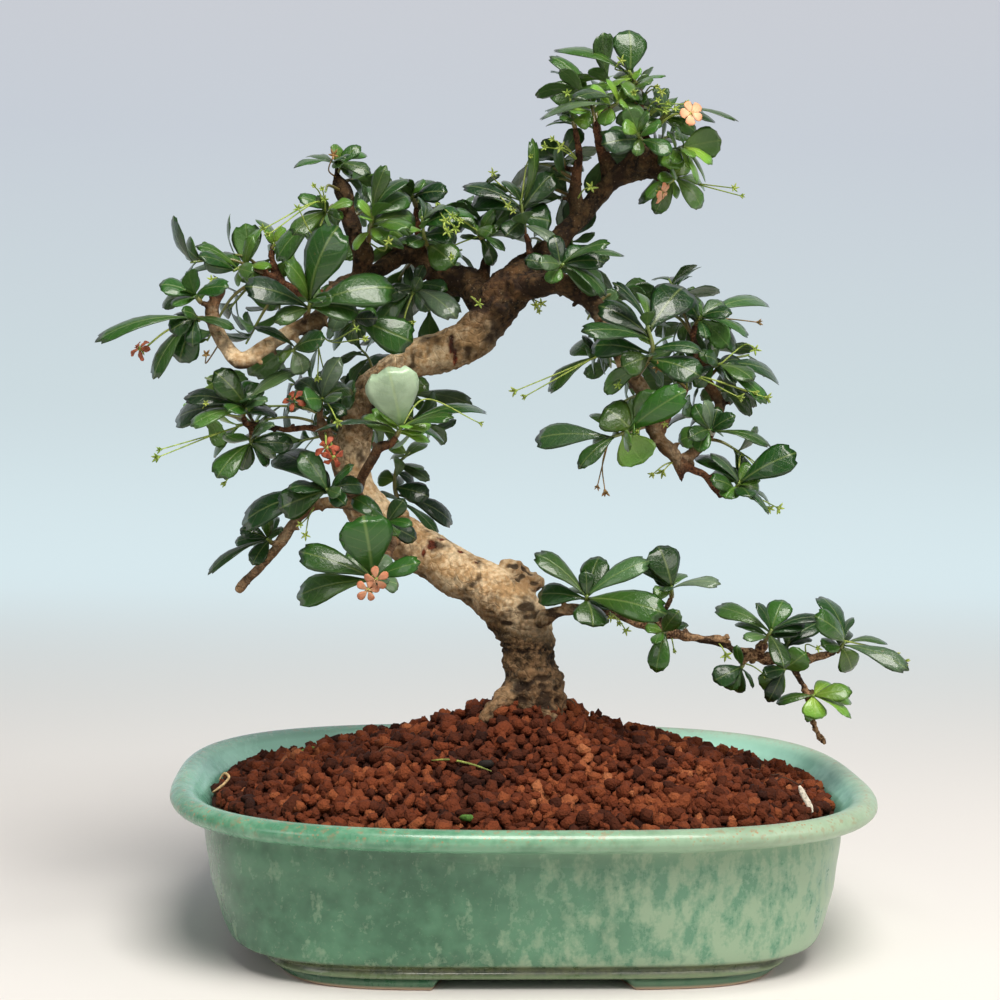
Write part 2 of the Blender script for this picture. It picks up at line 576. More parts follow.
# The wood: root flare, the trunk's double bend, both limbs, the low branch and every twig, grown in
# one piece. Tan bark with dark mossy scales and healed cuts on the trunk, red-brown on the twigs.
# A limb is a list of points [x, y, z, diameter] along the middle of the wood.
LIMBS = {
    "trunk": [[4, 2, 70, 30], [4, 2, 88, 28], [4, 1, 97, 23.5], [2, 0, 114, 20.6], [-1, 1, 126, 22.3],
        [-9, 2, 134, 21.5], [-16, 3, 139, 21], [-26, 5, 144, 20.3], [-36, 7, 150, 19.6],
        [-47, 9, 156, 18.8], [-57, 10, 163, 18], [-66, 9, 172, 17.2], [-70, 8, 182, 15.5],
        [-70, 7, 198, 13.9], [-67, 6, 210, 13.4], [-61, 4, 220, 13.8], [-52, 3, 227, 14],
        [-44, 2, 231.5, 14.8], [-33, 1.5, 234.5, 16], [-24, 1, 239, 16.8], [-19, 0.5, 244, 17.2],
        [-15, 0, 250, 17.6], [-11, 0, 257, 17.6], [-5, 1, 263, 16], [1, 2, 269, 12.8],
        [8, 3, 276.5, 9.6], [17.5, 4, 286.5, 7.8], [24.5, 5, 294.5, 6.8], [30.5, 5, 301.5, 6.8],
        [36, 4, 306.5, 8.6], [42, 3, 310, 12.6], [47, 2, 313, 16], [51, 0, 314, 10]],
    "root_left": [[-1, -4, 98, 12], [-10, -8, 92, 8], [-17, -12, 84, 5]],
    "root_right": [[8, 6, 96, 10], [14, 12, 88, 6], [19, 17, 80, 4]],
    "root_front": [[6, -4, 96, 10], [12, -12, 87, 6], [16, -19, 80, 4]],
    "branch_right": [[-6, -2, 260, 10.5], [4, -6, 261, 9.6], [11, -9, 262, 8.8], [21, -12, 257, 8],
        [26, -13, 252, 7.5], [30, -14, 244, 7.1], [34, -15, 236, 6.7], [40, -16, 226, 6.3],
        [45, -16, 219, 5.9], [47, -16, 209, 5.9], [52, -16, 200, 5.5], [58, -16, 194, 5.5],
        [60, -16, 189, 4], [61, -16, 184, 1.6]],
    "right_stub": [[52, -16, 204, 4], [55, -14, 210, 3.6], [59, -12, 216, 3.6], [63, -10, 221, 3.2]],
    "right_arm": [[58, -16, 192, 4.8], [64, -13, 194, 4.8], [71, -10, 201, 4.8], [75, -8, 208, 4.4],
        [77, -7, 215, 4.8], [74, -7, 220, 4.4], [70, -7, 227, 4], [68, -8, 233, 3.6], [65, -9, 242, 3]],
    "right_hook": [[59, -16, 193, 3.8], [65, -16, 189, 3.2], [70, -15, 187, 2.8], [75, -14, 181, 2.8],
        [80, -14, 178, 2.4]],
    "low_right": [[4, -3, 126, 7], [12, -9, 130, 5.2], [20, -11, 132, 4.2], [30, -13, 131, 3.6],
        [46, -14, 127, 3.6], [62, -13, 122, 3.8], [72, -12, 120, 3.6], [79, -12, 119, 4.6],
        [87, -12, 115, 3.4], [101, -12, 112, 3.4], [113, -10, 112, 3], [123, -9, 114, 2.8]],
    "low_drop": [[105, -12, 112, 3.2], [109, -13, 108, 3.2], [113, -14, 101, 2.6], [116, -13, 95, 2.2],
        [119, -11, 83, 2], [123, -11, 78, 1.4]],
    "left_limb": [[-18, 3, 255, 13.8], [-24, 6, 262, 13], [-33, 8, 264, 12.3], [-40, 10, 269, 10.6],
        [-47, 10, 274, 9], [-53, 8, 272, 7.6], [-60, 5, 267, 6.7], [-69, 1, 262, 6.7],
        [-74, -2, 260, 7.3], [-80, -8, 254, 6.6], [-85, -12, 245, 7.2], [-94, -15, 241, 6],
        [-105, -17, 234, 6], [-114, -18, 229, 6.4], [-120, -17, 235, 6], [-124, -16, 242, 5.6],
        [-125, -15, 250, 5], [-121, -15, 257, 3.4]],
    "spur": [[-69, 1, 262, 5.7], [-67, 1, 272, 8.1], [-70, 2, 279, 7.3], [-72, 3, 285, 6.9],
        [-74, 4, 291, 6.5], [-75, 4, 297, 7.3], [-78, 5, 303, 5]],
    "far_twig": [[-81, -7, 253, 3.8], [-86, -2, 255, 3.4], [-92, 4, 257, 3.2], [-100, 7, 261, 3.3],
        [-106, 8, 264, 3.2]],
    "far_dark": [[-99, 7, 260, 3], [-102, 8, 266, 3], [-104, 8, 271, 2.4]],
    "front_limb": [[-70, 4, 175, 6.5], [-72, -6, 180, 6], [-75, -10, 186, 5.6], [-77, -12, 194, 5.6],
        [-81, -13, 201, 5.2], [-83, -13, 207, 4.4]],
    "front_twig": [[-69, 2, 174, 4.6], [-66, -8, 184, 4], [-62, -12, 191, 4], [-59, -14, 196, 4.6],
        [-55, -15, 197, 3.6]],
    "left_twig": [[-80, -13, 202, 2.8], [-89, -11, 203, 2.4], [-96, -10, 202, 2.4],
        [-102, -10, 203, 2.8], [-108, -11, 203, 4], [-112, -13, 204, 3.6]],
    "low_left": [[-68, 6, 172, 6], [-77, -2, 173, 5.6], [-84, -1, 172, 4.4], [-89, 0, 169, 4],
        [-93, 1, 165, 4], [-97, 2, 159, 4.9], [-101, 3, 153, 4.1], [-108, 4, 145, 3.7],
        [-113, 5, 140, 3.7], [-116, 5, 136, 4.5]],
    "centre_twig": [[-52, 8.5, 160, 5], [-56, -12, 152, 3.4], [-58, -17, 146, 3.2],
        [-60, -19, 141, 2.4]],
    "crown_leader": [[46, 1, 314, 6], [45, -1, 325, 3.4], [43, -1, 333, 2.6]],
    "crown_twig": [[20, 4, 289, 7], [18, 3, 297, 6], [18, 2, 304, 4.6], [19, 1, 314, 3.2],
        [18, 0, 320, 2.6]],
    "crown_branch": [[32, 6, 302, 7], [32, 6, 309, 7], [28, 4, 317, 3.8], [25, -2, 325, 2.8]],
    "shoulder_twig": [[0, 1, 266, 5], [0, -1, 273, 3.6], [-1, -1, 279, 3]],
    "mid_twig": [[-43, 9, 269, 6], [-45, 9, 281, 3], [-46, 9, 289, 2.6]],
    "fork_twig": [[-18, 3, 258, 6], [-18, 4, 268, 4.4], [-17, 4, 274, 3]],
}
VIEWER = (-56.0, -749.0, 222.0)
DEPTH_SPREAD, SPREAD_FROM, SPREAD_OVER = 1.9, 105, 40
# Places below are [x, z, ...] as the viewer sees them. A healed cut ends in its width and height, dark
# bark and a callus in their size.
HEALED_CUTS = [(-38.2, 156, 2.6, 2), (-25.5, 153.5, 1.9, 1.6), (-19.4, 150, 1.7, 1.1),
               (-33, 158.5, 2.6, 1), (-51.8, 170, 1.6, 2.2), (-41, 153, 1.2, 2.2),
               (-31.3, 237.5, 0.9, 4), (-29.6, 232, 0.9, 4), (-28, 228, 1.1, 2.4)]
DARK_BARK = [(-34, 262, 8), (-24, 258, 8), (-20, 266, 7), (-11, 267, 6), (4, 262, 6), (-17, 252, 5),
             (22, 260, 6), (14, 281, 4), (33, 304, 6)]
CALLUSES = [(-5.7, 146.3, 4.6), (-1.6, 143.9, 5), (2.9, 141.1, 4.6), (4.7, 141.7, 3.6), (-3, 147.5, 3),
            (-12, 252, 3.6), (-50, 168, 3.2), (47, 318, 4.4), (52, 316, 4.2), (54, 311, 3.8),
            (50, 308, 3.6), (45, 311, 3.4), (53, 306, 3), (-7, 262, 3.4)]


def spread(points):
    """Points above the foot of the trunk go further from or nearer to the viewer, along the line of
    sight, to nearly twice their depth. Diameters grow in step."""
    points = np.asarray(points, float)
    share = np.clip((points[:, 2:3] - SPREAD_FROM) / SPREAD_OVER, 0, 1)
    deep = points[:, 1:2] * (1 + share * (DEPTH_SPREAD - 1))
    scale = (deep - VIEWER[1]) / (points[:, 1:2] - VIEWER[1])
    x = VIEWER[0] + (points[:, :1] - VIEWER[0]) * scale
    z = VIEWER[2] + (points[:, 2:3] - VIEWER[2]) * scale
    return np.hstack([x, deep, z, points[:, 3:] * scale])


def tube(points, radii, sides):
    """A closed tube: a ring round each point, each turned as little as possible from the last one,
    and one more point beyond each end, so that the ends are blunt cones."""
    ahead = np.gradient(points, axis=0)
    ahead /= np.linalg.norm(ahead, axis=1, keepdims=True)
    first = np.cross([0.31, 0.93, 0.2], ahead[0])
    angles = np.arange(sides) / sides * 2 * np.pi
    rings = []
    for point, way, radius in zip(points, ahead, radii):
        first = first - way * first.dot(way)
        first = first / np.linalg.norm(first)
        second = np.cross(way, first)
        circle = np.cos(angles)[:, None] * first + np.sin(angles)[:, None] * second
        rings.append(point + circle * radius)
    centre = [points[0] - ahead[0] * radii[0] * 0.35, points[-1] + ahead[-1] * radii[-1] * 0.35]
    count = len(rings)
    low, high = count * sides, count * sides + 1
    ring, last = np.arange(sides), (count - 1) * sides
    step = (ring + 1) % sides
    caps = np.vstack([np.stack([np.full(sides, low), step, ring], axis=1),
                      np.stack([np.full(sides, high), last + ring, last + step], axis=1)])
    return np.vstack([np.vstack(rings), centre]), grid_faces(count, sides, True), caps


def gathered(parts):
    """Many closed bodies as one list of points, one of quads and one of triangles."""
    shift = np.cumsum([0] + [len(part[0]) for part in parts[:-1]])
    quads, triangles = (np.vstack([part[k] + s for part, s in zip(parts, shift)]) for k in (1, 2))
    return np.vstack([part[0] for part in parts]), quads, triangles


LIMBS = {name: spread(points) for name, points in LIMBS.items()}
wood_pieces = np.vstack([np.hstack([points[:-1], points[1:]]) for points in LIMBS.values()])


def bark_distance(pieces, points):
    """Distance of each point from the bark of each straight piece of wood, below 0 inside the wood.
    Also how far along its piece each one's nearest place is."""
    start, end = pieces[:, :3], pieces[:, 4:7]
    run = end - start
    part = np.einsum("pmk,mk->pm", points[:, None, :] - start[None], run)
    part = np.clip(part / np.einsum("mk,mk->m", run, run), 0, 1)
    nearest = start[None] + run[None] * part[:, :, None]
    radius = (pieces[:, 3] + (pieces[:, 7] - pieces[:, 3]) * part) / 2
    return np.linalg.norm(points[:, None, :] - nearest, axis=2) - radius, part


def on_bark(x, z):
    """Where the viewer's line of sight through a place first meets the bark, or passes nearest to it."""
    share = (np.linspace(-60, 60, 601) - VIEWER[1]) / -VIEWER[1]
    line = np.array(VIEWER) + (np.array([x, 0, z]) - VIEWER) * share[:, None]
    distance = bark_distance(wood_pieces, line)[0].min(axis=1)
    touching = distance < 0.3
    return line[np.argmax(touching) if np.any(touching) else np.argmin(distance)]


# A shoot is [points of its stem, how many plain leaves fill its back, its leaves], and a leaf is
# [direction in the picture's plane, length, lean towards the viewer, width, turn of its face].
SHOOTS = {
    "crown_peak": [[[44, -1, 337], [38, -3, 347]], 2,
        [[-153, 15, 20, 10, 30], [-171, 28, 10, 10, 60], [12, 11, 0, 8, 75], [-118, 15, 45, 9, 20],
        [154, 33, 5, 9, 50], [-3, 6, 10, 5, 10], [90, 18, 15, 13, 5]]],
    "crown_back": [[[28, 9, 324], [26, 12, 334], [22, 12, 344]], 1,
        [[43, 9, -20, 9, 40], [83, 22, -30, 9, 30], [158, 21, -15, 11, 20], [129, 26, 0, 8, 35],
        [136, 20, -25, 6, 60], [139, 14, -35, 9, 30]]],
    "crown_front": [[[28, -5, 330], [35, -8, 335]], 1,
        [[-111, 9, 20, 7, 30], [-172, 29, 0, 8, 60], [-178, 21, 20, 6, 50], [-37, 13, 35, 9, 20],
        [17, 12, 10, 8, 60]]],
    "crown_left": [[[17, -1, 324], [15, -3, 330]], 1,
        [[-6, 8, 20, 7, 20], [144, 19, -10, 6, 50], [-166, 23, 10, 8, 60], [110, 8, 30, 7, 40],
        [31, 12, -20, 7, 40]]],
    "crown_inner": [[[14, 6, 309], [13, 8, 314]], 1,
        [[180, 12, 10, 5, 70], [-17, 10, 0, 5, 40], [-78, 9, 0, 5, 40], [58, 14, 10, 8, 20]]],
    "crown_right": [[[49, -4, 326], [54, -8, 331]], 2,
        [[-154, 9, 20, 9, 20], [-19, 16, 20, 8, 30], [136, 9, -10, 5, 50], [-1, 22, -15, 6, 50],
        [18, 20, -30, 6, 40], [-8, 27, 0, 7, 70]]],
    "crown_right_low": [[[55, -5, 315], [60, -9, 317]], 2,
        [[-112, 9, 20, 9, 20], [-32, 9, -10, 9, 40], [-71, 16, 10, 6, 60], [14, 16, -10, 12, 160],
        [-51, 16, 10, 6, 65], [-30, 13, 0, 7, 50]]],
    "crown_burl": [[[54, -2, 306], [58, -4, 305]], 1,
        [[-141, 15, 0, 6, 40], [-114, 16, 10, 7, 10], [7, 38, 5, 6, 60], [-45, 16, 0, 9, 25],
        [-7, 17, -30, 7, 40]]],
    "crown_face": [[[43, -12, 317], [40, -17, 321]], 1,
        [[-168, 17, 15, 10, 20], [165, 13, 10, 7, 40], [28, 9, 30, 8, 60], [111, 11, -10, 8, 150],
        [155, 9, 30, 7, 40]]],
    "spur_top": [[[-78, 5, 305], [-79, 4, 309]], 1,
        [[-13, 15, 0, 7, 40], [-25, 14, 15, 7, 150], [-171, 16, 0, 6, 70], [-29, 9, 20, 6, 60],
        [163, 12, 0, 6, 60], [80, 8, -20, 6, 40], [23, 15, 0, 8, 45]]],
    "spur_left": [[[-79, -2, 291], [-82, -5, 288]], 1,
        [[163, 13, 10, 7, 40], [-30, 8, 35, 5, 40], [-138, 17, 10, 8, 30], [-136, 28, 0, 11, 40],
        [-138, 11, -20, 7, 40]]],
    "spur_right": [[[-65, -4, 277], [-64, -6, 282], [-63, -8, 290]], 1,
        [[-24, 15, 10, 7, 60], [-136, 10, 10, 6, 50], [-35, 8, 20, 7, 30], [-7, 21, 10, 10, 40],
        [9, 18, 15, 9, 30], [130, 9, 0, 6, 50], [31, 17, 0, 10, 30], [72, 18, 0, 7, 30],
        [47, 19, -10, 8, 50]]],
    "mid_upper": [[[-46, 9, 292], [-48, 8, 298]], 2,
        [[169, 9, 10, 7, 50], [145, 13, -10, 7, 50], [8, 14, 5, 9, 30], [121, 9, -20, 7, 60],
        [41, 11, 0, 8, 50], [35, 8, 25, 7, 60]]],
    "mid_right": [[[-41, -1, 275], [-43, -8, 280], [-44, -10, 287]], 1,
        [[-36, 14, 10, 13, 20], [-14, 16, -10, 8, 50], [-156, 9, 10, 7, 30], [5, 12, 15, 9, 40],
        [170, 8, 10, 8, 50], [19, 15, 0, 10, 40], [9, 23, -15, 7, 50]]],
    "twig_tall": [[[-2, -1, 281], [-3, 0, 287], [-4, 0, 295]], 1,
        [[-29, 15, 10, 6, 40], [-12, 16, -20, 6, 30], [-133, 11, 15, 9, 10], [-6, 12, 15, 13, 15],
        [157, 21, 5, 13, 30], [50, 20, -10, 11, 30], [159, 24, 0, 9, 45], [80, 27, -15, 6, 40],
        [62, 23, 0, 7, 30]]],
    "fork_small": [[[-18, 4, 277], [-22, -1, 283]], 1,
        [[174, 9, 0, 5, 60], [-62, 12, 10, 7, 30], [-31, 12, 0, 5, 50], [51, 12, -15, 6, 50],
        [121, 7, -10, 6, 40]]],
    "right_shoulder": [[[9, -14, 267], [12, -17, 269]], 1,
        [[-117, 8, 20, 7, 30], [-24, 20, 15, 12, 25], [25, 19, 0, 7, 60], [13, 26, -10, 6, 60],
        [-33, 18, -5, 9, 50]]],
    "under_limb": [[[-45, 5, 262], [-47, -1, 257]], 1,
        [[-5, 13, 10, 8, 40], [-166, 14, 0, 8, 40], [-33, 21, 15, 10, 30], [-138, 20, 0, 10, 30],
        [-108, 17, 0, 10, 20]]],
    "trunk_front": [[[-71, -10, 253], [-70, -15, 244]], 1,
        [[-133, 14, 0, 9, 40], [-175, 8, 10, 7, 30], [-2, 9, -10, 8, 40], [-23, 25, 12, 14, 15],
        [-129, 14, -10, 7, 50]]],
    "stub_left": [[[-129, -17, 251], [-132, -18, 254]], 1,
        [[-158, 10, 20, 6, 50], [-173, 14, 0, 9, 40], [15, 16, 25, 7, 40], [162, 14, 0, 10, 40],
        [99, 10, 10, 6, 40]]],
    "far_tip": [[[-128, -18, 245], [-132, -20, 245]], 1,
        [[151, 10, 20, 5, 50], [-112, 18, 10, 12, 15], [167, 15, -15, 7, 60], [-125, 28, 0, 9, 45],
        [-150, 11, 20, 8, 30], [-165, 37, 0, 9, 55]]],
    "far_back": [[[-110, 9, 266], [-115, 8, 267], [-119, 6, 265]], 1,
        [[1, 12, -10, 5, 60], [91, 18, -5, 12, 165], [69, 20, -30, 8, 60], [-103, 8, 10, 6, 60],
        [-174, 26, 5, 8, 60], [150, 19, -5, 7, 55], [165, 26, -25, 5, 60], [162, 14, 15, 7, 50]]],
    "dark_up": [[[-104, 8, 273], [-103, 8, 277]], 1,
        [[119, 7, 10, 5, 40], [-52, 7, 0, 5, 40], [50, 8, -20, 7, 40]]],
    "left_big": [[[-88, -18, 248], [-87, -22, 252]], 1,
        [[162, 25, 10, 12, 40], [-4, 20, 20, 12, 40], [115, 18, 5, 9, 55], [14, 33, 0, 15, 30],
        [110, 15, -15, 8, 50], [72, 30, 5, 17, 30]]],
    "left_under": [[[-91, -16, 236], [-94, -18, 233]], 1,
        [[153, 18, 0, 6, 60], [172, 16, 10, 10, 35], [22, 13, 10, 9, 35], [-65, 10, 5, 9, 35],
        [-150, 20, -10, 11, 150]]],
    "low_fan": [[[-113, -14, 207], [-112, -16, 212]], 2,
        [[-164, 21, 5, 8, 50], [-172, 29, 0, 12, 40], [18, 10, 20, 6, 60], [171, 23, -10, 9, 40],
        [169, 17, 10, 12, 30], [132, 17, 10, 11, 30], [36, 22, 0, 9, 45]]],
    "low_under": [[[-110, -12, 200], [-110, -13, 196]], 1,
        [[38, 16, 15, 6, 60], [-5, 14, -10, 8, 30], [-134, 18, 0, 10, 30], [-110, 12, -20, 8, 150],
        [-50, 11, 10, 7, 50]]],
    "limb_tip": [[[-83, -14, 211], [-82, -16, 215]], 1,
        [[171, 17, 5, 11, 35], [-128, 15, 15, 14, 30], [67, 18, -10, 9, 35], [143, 14, -25, 8, 30],
        [22, 12, -20, 8, 30]]],
    "big_gloss": [[[-78, -10, 177], [-80, -15, 179]], 1,
        [[50, 15, 15, 6, 60], [-162, 38, 10, 12, 35], [174, 16, -10, 8, 60], [-158, 21, 20, 12, 20],
        [143, 30, 10, 15, 25], [126, 18, -10, 10, 30]]],
    "pale_fan": [[[-53, -16, 200], [-51, -18, 204]], 1,
        [[-3, 10, -5, 6, 60], [-10, 19, -15, 6, 60], [14, 21, 0, 7, 65], [180, 33, 10, 9, 80],
        [13, 36, 0, 8, 55], [138, 12, 15, 6, 50], [106, 9, 30, 7, 20], [103, 23, 5, 19, 5]]],
    "dark_back": [[[-63, 16, 214], [-64, 19, 218]], 1,
        [[-170, 10, 0, 12, 20], [65, 19, -5, 15, 20], [121, 13, -10, 14, 20], [-130, 17, -15, 9, 30]]],
    "small_back": [[[-50, 15, 220], [-47, 18, 215]], 1,
        [[18, 10, -10, 9, 25], [50, 9, 0, 8, 25], [-7, 26, 0, 8, 40], [-121, 11, -20, 6, 40]]],
    "back_twig": [[[-50, 20, 168], [-53, 22, 178], [-52, 22, 187], [-47, 22, 193]], 1,
        [[-40, 22, 0, 6, 50], [-26, 28, 0, 9, 35], [-14, 15, -10, 10, 30], [174, 8, -15, 8, 30],
        [-29, 9, 0, 6, 40], [-23, 15, 0, 6, 40], [34, 14, -20, 6, 40], [149, 11, -10, 7, 40]]],
    "trunk_shoot": [[[-57, -6, 164], [-56, -11, 166]], 0,
        [[-42, 7, 20, 5, 50], [143, 17, 10, 8, 30], [-1, 10, 10, 5, 50]]],
    "centre_low": [[[-60.5, -22.5, 141.5], [-61.5, -24, 146]], 0,
        [[-10, 10, 5, 8, 20], [-165, 31, 5, 12, 35], [21, 19, 0, 7, 30], [164, 30, 0, 11, 30],
        [58, 10, 5, 8, 30], [99, 24, 8, 19, 10]]],
    "dead_left": [[[-102, 1, 156], [-104, -1, 158]], 1,
        [[-152, 27, 5, 6, 60], [-173, 14, 10, 7, 40], [90, 10, -10, 7, 50]]],
    "right_crown": [[[42, -19, 226], [47, -23, 236], [44, -24, 247]], 1,
        [[-152, 19, -5, 9, 150], [-47, 12, 10, 7, 50], [-18, 19, 10, 12, 35], [-160, 13, 20, 10, 15],
        [174, 22, 5, 10, 30], [2, 18, 5, 7, 50], [125, 8, 25, 6, 30], [176, 28, 0, 9, 50],
        [150, 23, 5, 11, 35], [53, 24, 5, 16, 20], [129, 22, 0, 6, 50], [92, 16, -20, 7, 30]]],
    "right_knob": [[[31, -10, 235], [26, -9, 233]], 1,
        [[92, 9, -10, 7, 40], [-143, 24, 0, 8, 50], [121, 10, -15, 7, 50]]],
    "right_light": [[[66, -9, 246], [68, -11, 250]], 1,
        [[131, 11, 10, 8, 30], [-31, 20, 10, 9, 40], [-41, 15, -5, 9, 160], [88, 11, -15, 8, 30],
        [-16, 19, 5, 9, 50], [12, 12, 20, 7, 50], [14, 33, -10, 8, 45], [115, 11, -25, 6, 60]]],
    "right_fan": [[[72, -9, 230], [76, -12, 231]], 1,
        [[-151, 11, 10, 6, 60], [10, 13, 10, 8, 50], [-39, 24, -10, 8, 45], [-25, 17, 5, 11, 35],
        [-9, 29, 0, 9, 45], [56, 10, -25, 7, 30]]],
    "right_low": [[[45, -20, 206], [39, -21, 204], [31, -20, 201]], 0,
        [[69, 17, 15, 11, 15], [143, 14, 15, 15, 25], [43, 25, 10, 11, 20], [-57, 14, 0, 15, 170],
        [142, 13, -10, 6, 40], [-138, 19, 0, 7, 40], [-176, 29, 0, 11, 35]]],
    "right_inner": [[[73, -13, 203], [71, -17, 205]], 1,
        [[-12, 24, -5, 7, 60], [-159, 13, 10, 9, 35], [107, 12, 5, 7, 40], [-120, 11, 5, 7, 50]]],
    "right_end": [[[82, -15, 180], [84, -17, 184]], 1,
        [[-144, 8, 25, 8, 50], [-27, 19, -10, 5, 60], [-44, 15, 0, 5, 60], [-12, 10, 15, 10, 35],
        [140, 21, 10, 11, 35], [34, 25, 0, 12, 30], [165, 16, -10, 8, 40]]],
    "branch_fan": [[[24, -14, 134], [24, -16, 138]], 0,
        [[-82, 12, 40, 14, 20], [178, 19, 0, 10, 35], [-5, 28, 10, 12, 30], [141, 27, 0, 10, 45],
        [157, 10, -10, 7, 50], [34, 28, -5, 9, 40], [70, 16, 0, 11, 30]]],
    "branch_spur": [[[58, -14, 137], [58, -15, 142]], 1,
        [[-177, 8, 10, 6, 40], [140, 16, -10, 8, 40], [12, 18, 0, 6, 60], [110, 17, 0, 14, 20]]],
    "branch_under": [[[56, -16, 124], [54, -19, 124]], 0,
        [[20, 10, 10, 5, 70], [165, 8, 20, 6, 50], [-140, 8, 10, 5, 50]]],
    "branch_mid": [[[96, -14, 119], [99, -15, 125]], 1,
        [[-180, 11, 10, 5, 50], [162, 13, -5, 5, 50], [-73, 13, 25, 8, 20], [16, 15, 5, 7, 50],
        [157, 22, 5, 9, 45], [18, 23, -20, 6, 60], [63, 13, 0, 10, 30]]],
    "branch_round": [[[103, -15, 110], [104, -18, 109]], 0,
        [[45, 11, 15, 10, 10], [-124, 12, 10, 11, 10], [-175, 10, 5, 6, 40]]],
    "branch_left": [[[88, -13, 111], [87, -15, 109]], 0,
        [[-155, 13, 5, 9, 25], [-123, 11, 10, 8, 20], [-60, 8, 10, 4, 60]]],
    "branch_end": [[[127, -9, 115], [130, -11, 120]], 0,
        [[170, 10, 20, 8, 55], [-63, 12, 10, 10, 15], [-16, 25, 0, 8, 40], [1, 20, -10, 6, 70],
        [60, 11, -10, 5, 60], [143, 25, 0, 10, 40], [112, 19, -10, 11, 40]]],
    "branch_drop": [[[115, -16, 98], [116, -19, 99]], 0,
        [[-91, 9, 15, 10, 10], [-165, 14, 0, 5, 50], [-28, 16, -5, 5, 60], [-11, 18, 0, 6, 50],
        [34, 8, -5, 7, 50]]],
}
TWIG_DIAMETERS = (2.8, 2.38)
GAP, BARK_LATTICE = 0.4, 0.78


def stands(stem):
    """A shoot stands on a twig that leaves the nearest limb. Gives the stem and the twig's two ends."""
    stem = spread(stem)
    distance, part = bark_distance(wood_pieces, stem[:1])
    k = int(np.argmin(distance[0]))
    root = wood_pieces[k, :3] + (wood_pieces[k, 4:7] - wood_pieces[k, :3]) * part[0, k]
    way = (stem[0] - root) / np.linalg.norm(stem[0] - root)
    stem[0] += way * max(0.0, 1.5 - distance[0, k])
    tip = stem[0].copy()
    stem[0] += way * GAP
    return stem, np.concatenate([root, TWIG_DIAMETERS[:1], tip, TWIG_DIAMETERS[1:]])


stems, twigs = {}, []
for name, (stem, _, _) in SHOOTS.items():
    stems[name], twig = stands(stem)
    twigs.append(twig)
bark_pieces = np.vstack([wood_pieces, twigs])


def wood_skin():
    """Each limb is a tube along a smooth curve, swollen and pinched every few millimetres. Twigs, short
    dead spurs and calluses are tubes too."""
    draw = np.random.default_rng(4)
    parts = []
    for k, (name, limb) in enumerate(LIMBS.items()):
        line = curve_through(limb, 1.0)
        along = np.concatenate([[0], np.cumsum(np.linalg.norm(np.diff(line[:, :3], axis=0), axis=1))])
        thick = line[:, 3] / 2
        level, own = along * 0, along * 0 + 7 * k
        wave = cloud(np.stack([along, own, level], 1), 6.5, 9)
        knuckle = np.clip(cloud(np.stack([along, own, level + 5], 1), 3.2, 10), 0.1, 1)
        thin = np.clip(1.2 - thick / 5, 0, 1)
        thick = thick * (1 + 0.06 * wave + 0.2 * thin * (knuckle - 0.25))
        if k and limb[-1, 3] < 6:
            thick[-3:] *= [0.95, 0.85, 0.65]
        parts.append(tube(line[:, :3], thick, 20 if name == "trunk" else 12))
        if name == "trunk":
            continue
        for spot in np.arange(8.0, along[-1] - 1, 7.5):
            i = int(np.searchsorted(along, spot + draw.uniform(-2.5, 2.5)))
            if i >= len(line) - 1 or thick[i] > 5:
                continue
            way = np.cross(line[min(i + 1, len(line) - 1), :3] - line[i - 1, :3], draw.normal(size=3))
            way /= np.linalg.norm(way)
            reach = thick[i] + draw.uniform(0.8, 2.4)
            spur = line[i, :3] + np.array([0.0, 0.6, 1.0])[:, None] * way * reach
            parts.append(tube(spur, np.array([1.25, 1.05, 0.8]), 8))
    for twig in twigs:
        middle = twig[:3] + (twig[4:7] - twig[:3]) * np.linspace(0, 1, 6)[:, None]
        thick = np.interp(np.linspace(0, 1, 6), [0, 0.7, 1], [1.5, 1.15, 1.2])
        parts.append(tube(middle, thick, 10))
    for x, z, size in CALLUSES:
        middle = on_bark(x, z) + [0, 0.45 * size, 0]
        lump = middle + np.linspace(-1, 1, 7)[:, None] * size * np.array([0.5, 0, 0.6])
        parts.append(tube(lump, size * np.sqrt(1.05 - np.linspace(-1, 1, 7) ** 2), 12))
    return gathered(parts)


def melted(points, quads, triangles, voxel):
    """The outer skin of many overlapping bodies, from Blender's voxel remesh."""
    mesh = bpy.data.meshes.new("melt")
    mesh.from_pydata(points.tolist(), [], quads.tolist() + triangles.tolist())
    thing = bpy.data.objects.new("melt", mesh)
    bpy.context.scene.collection.objects.link(thing)
    remesh = thing.modifiers.new("melt", "REMESH")
    remesh.mode, remesh.voxel_size = "VOXEL", voxel
    scene = bpy.context.evaluated_depsgraph_get()
    skin = bpy.data.meshes.new_from_object(thing.evaluated_get(scene))
    bpy.data.objects.remove(thing)
    found = np.zeros(len(skin.vertices) * 3, np.float32)
    normals = np.zeros_like(found)
    skin.vertices.foreach_get("co", found)
    skin.vertex_normals.foreach_get("vector", normals)
    corners = np.zeros(len(skin.loops), np.int32)
    skin.loops.foreach_get("vertex_index", corners)
    sides = np.zeros(len(skin.polygons), np.int32)
    skin.polygons.foreach_get("loop_total", sides)
    if not np.all(sides == 4):
        raise RuntimeError("the remesh gave faces that aren't quads")
    found, normals = found.reshape(-1, 3).astype(float), normals.reshape(-1, 3).astype(float)
    return found, normals, corners.reshape(-1, 4)


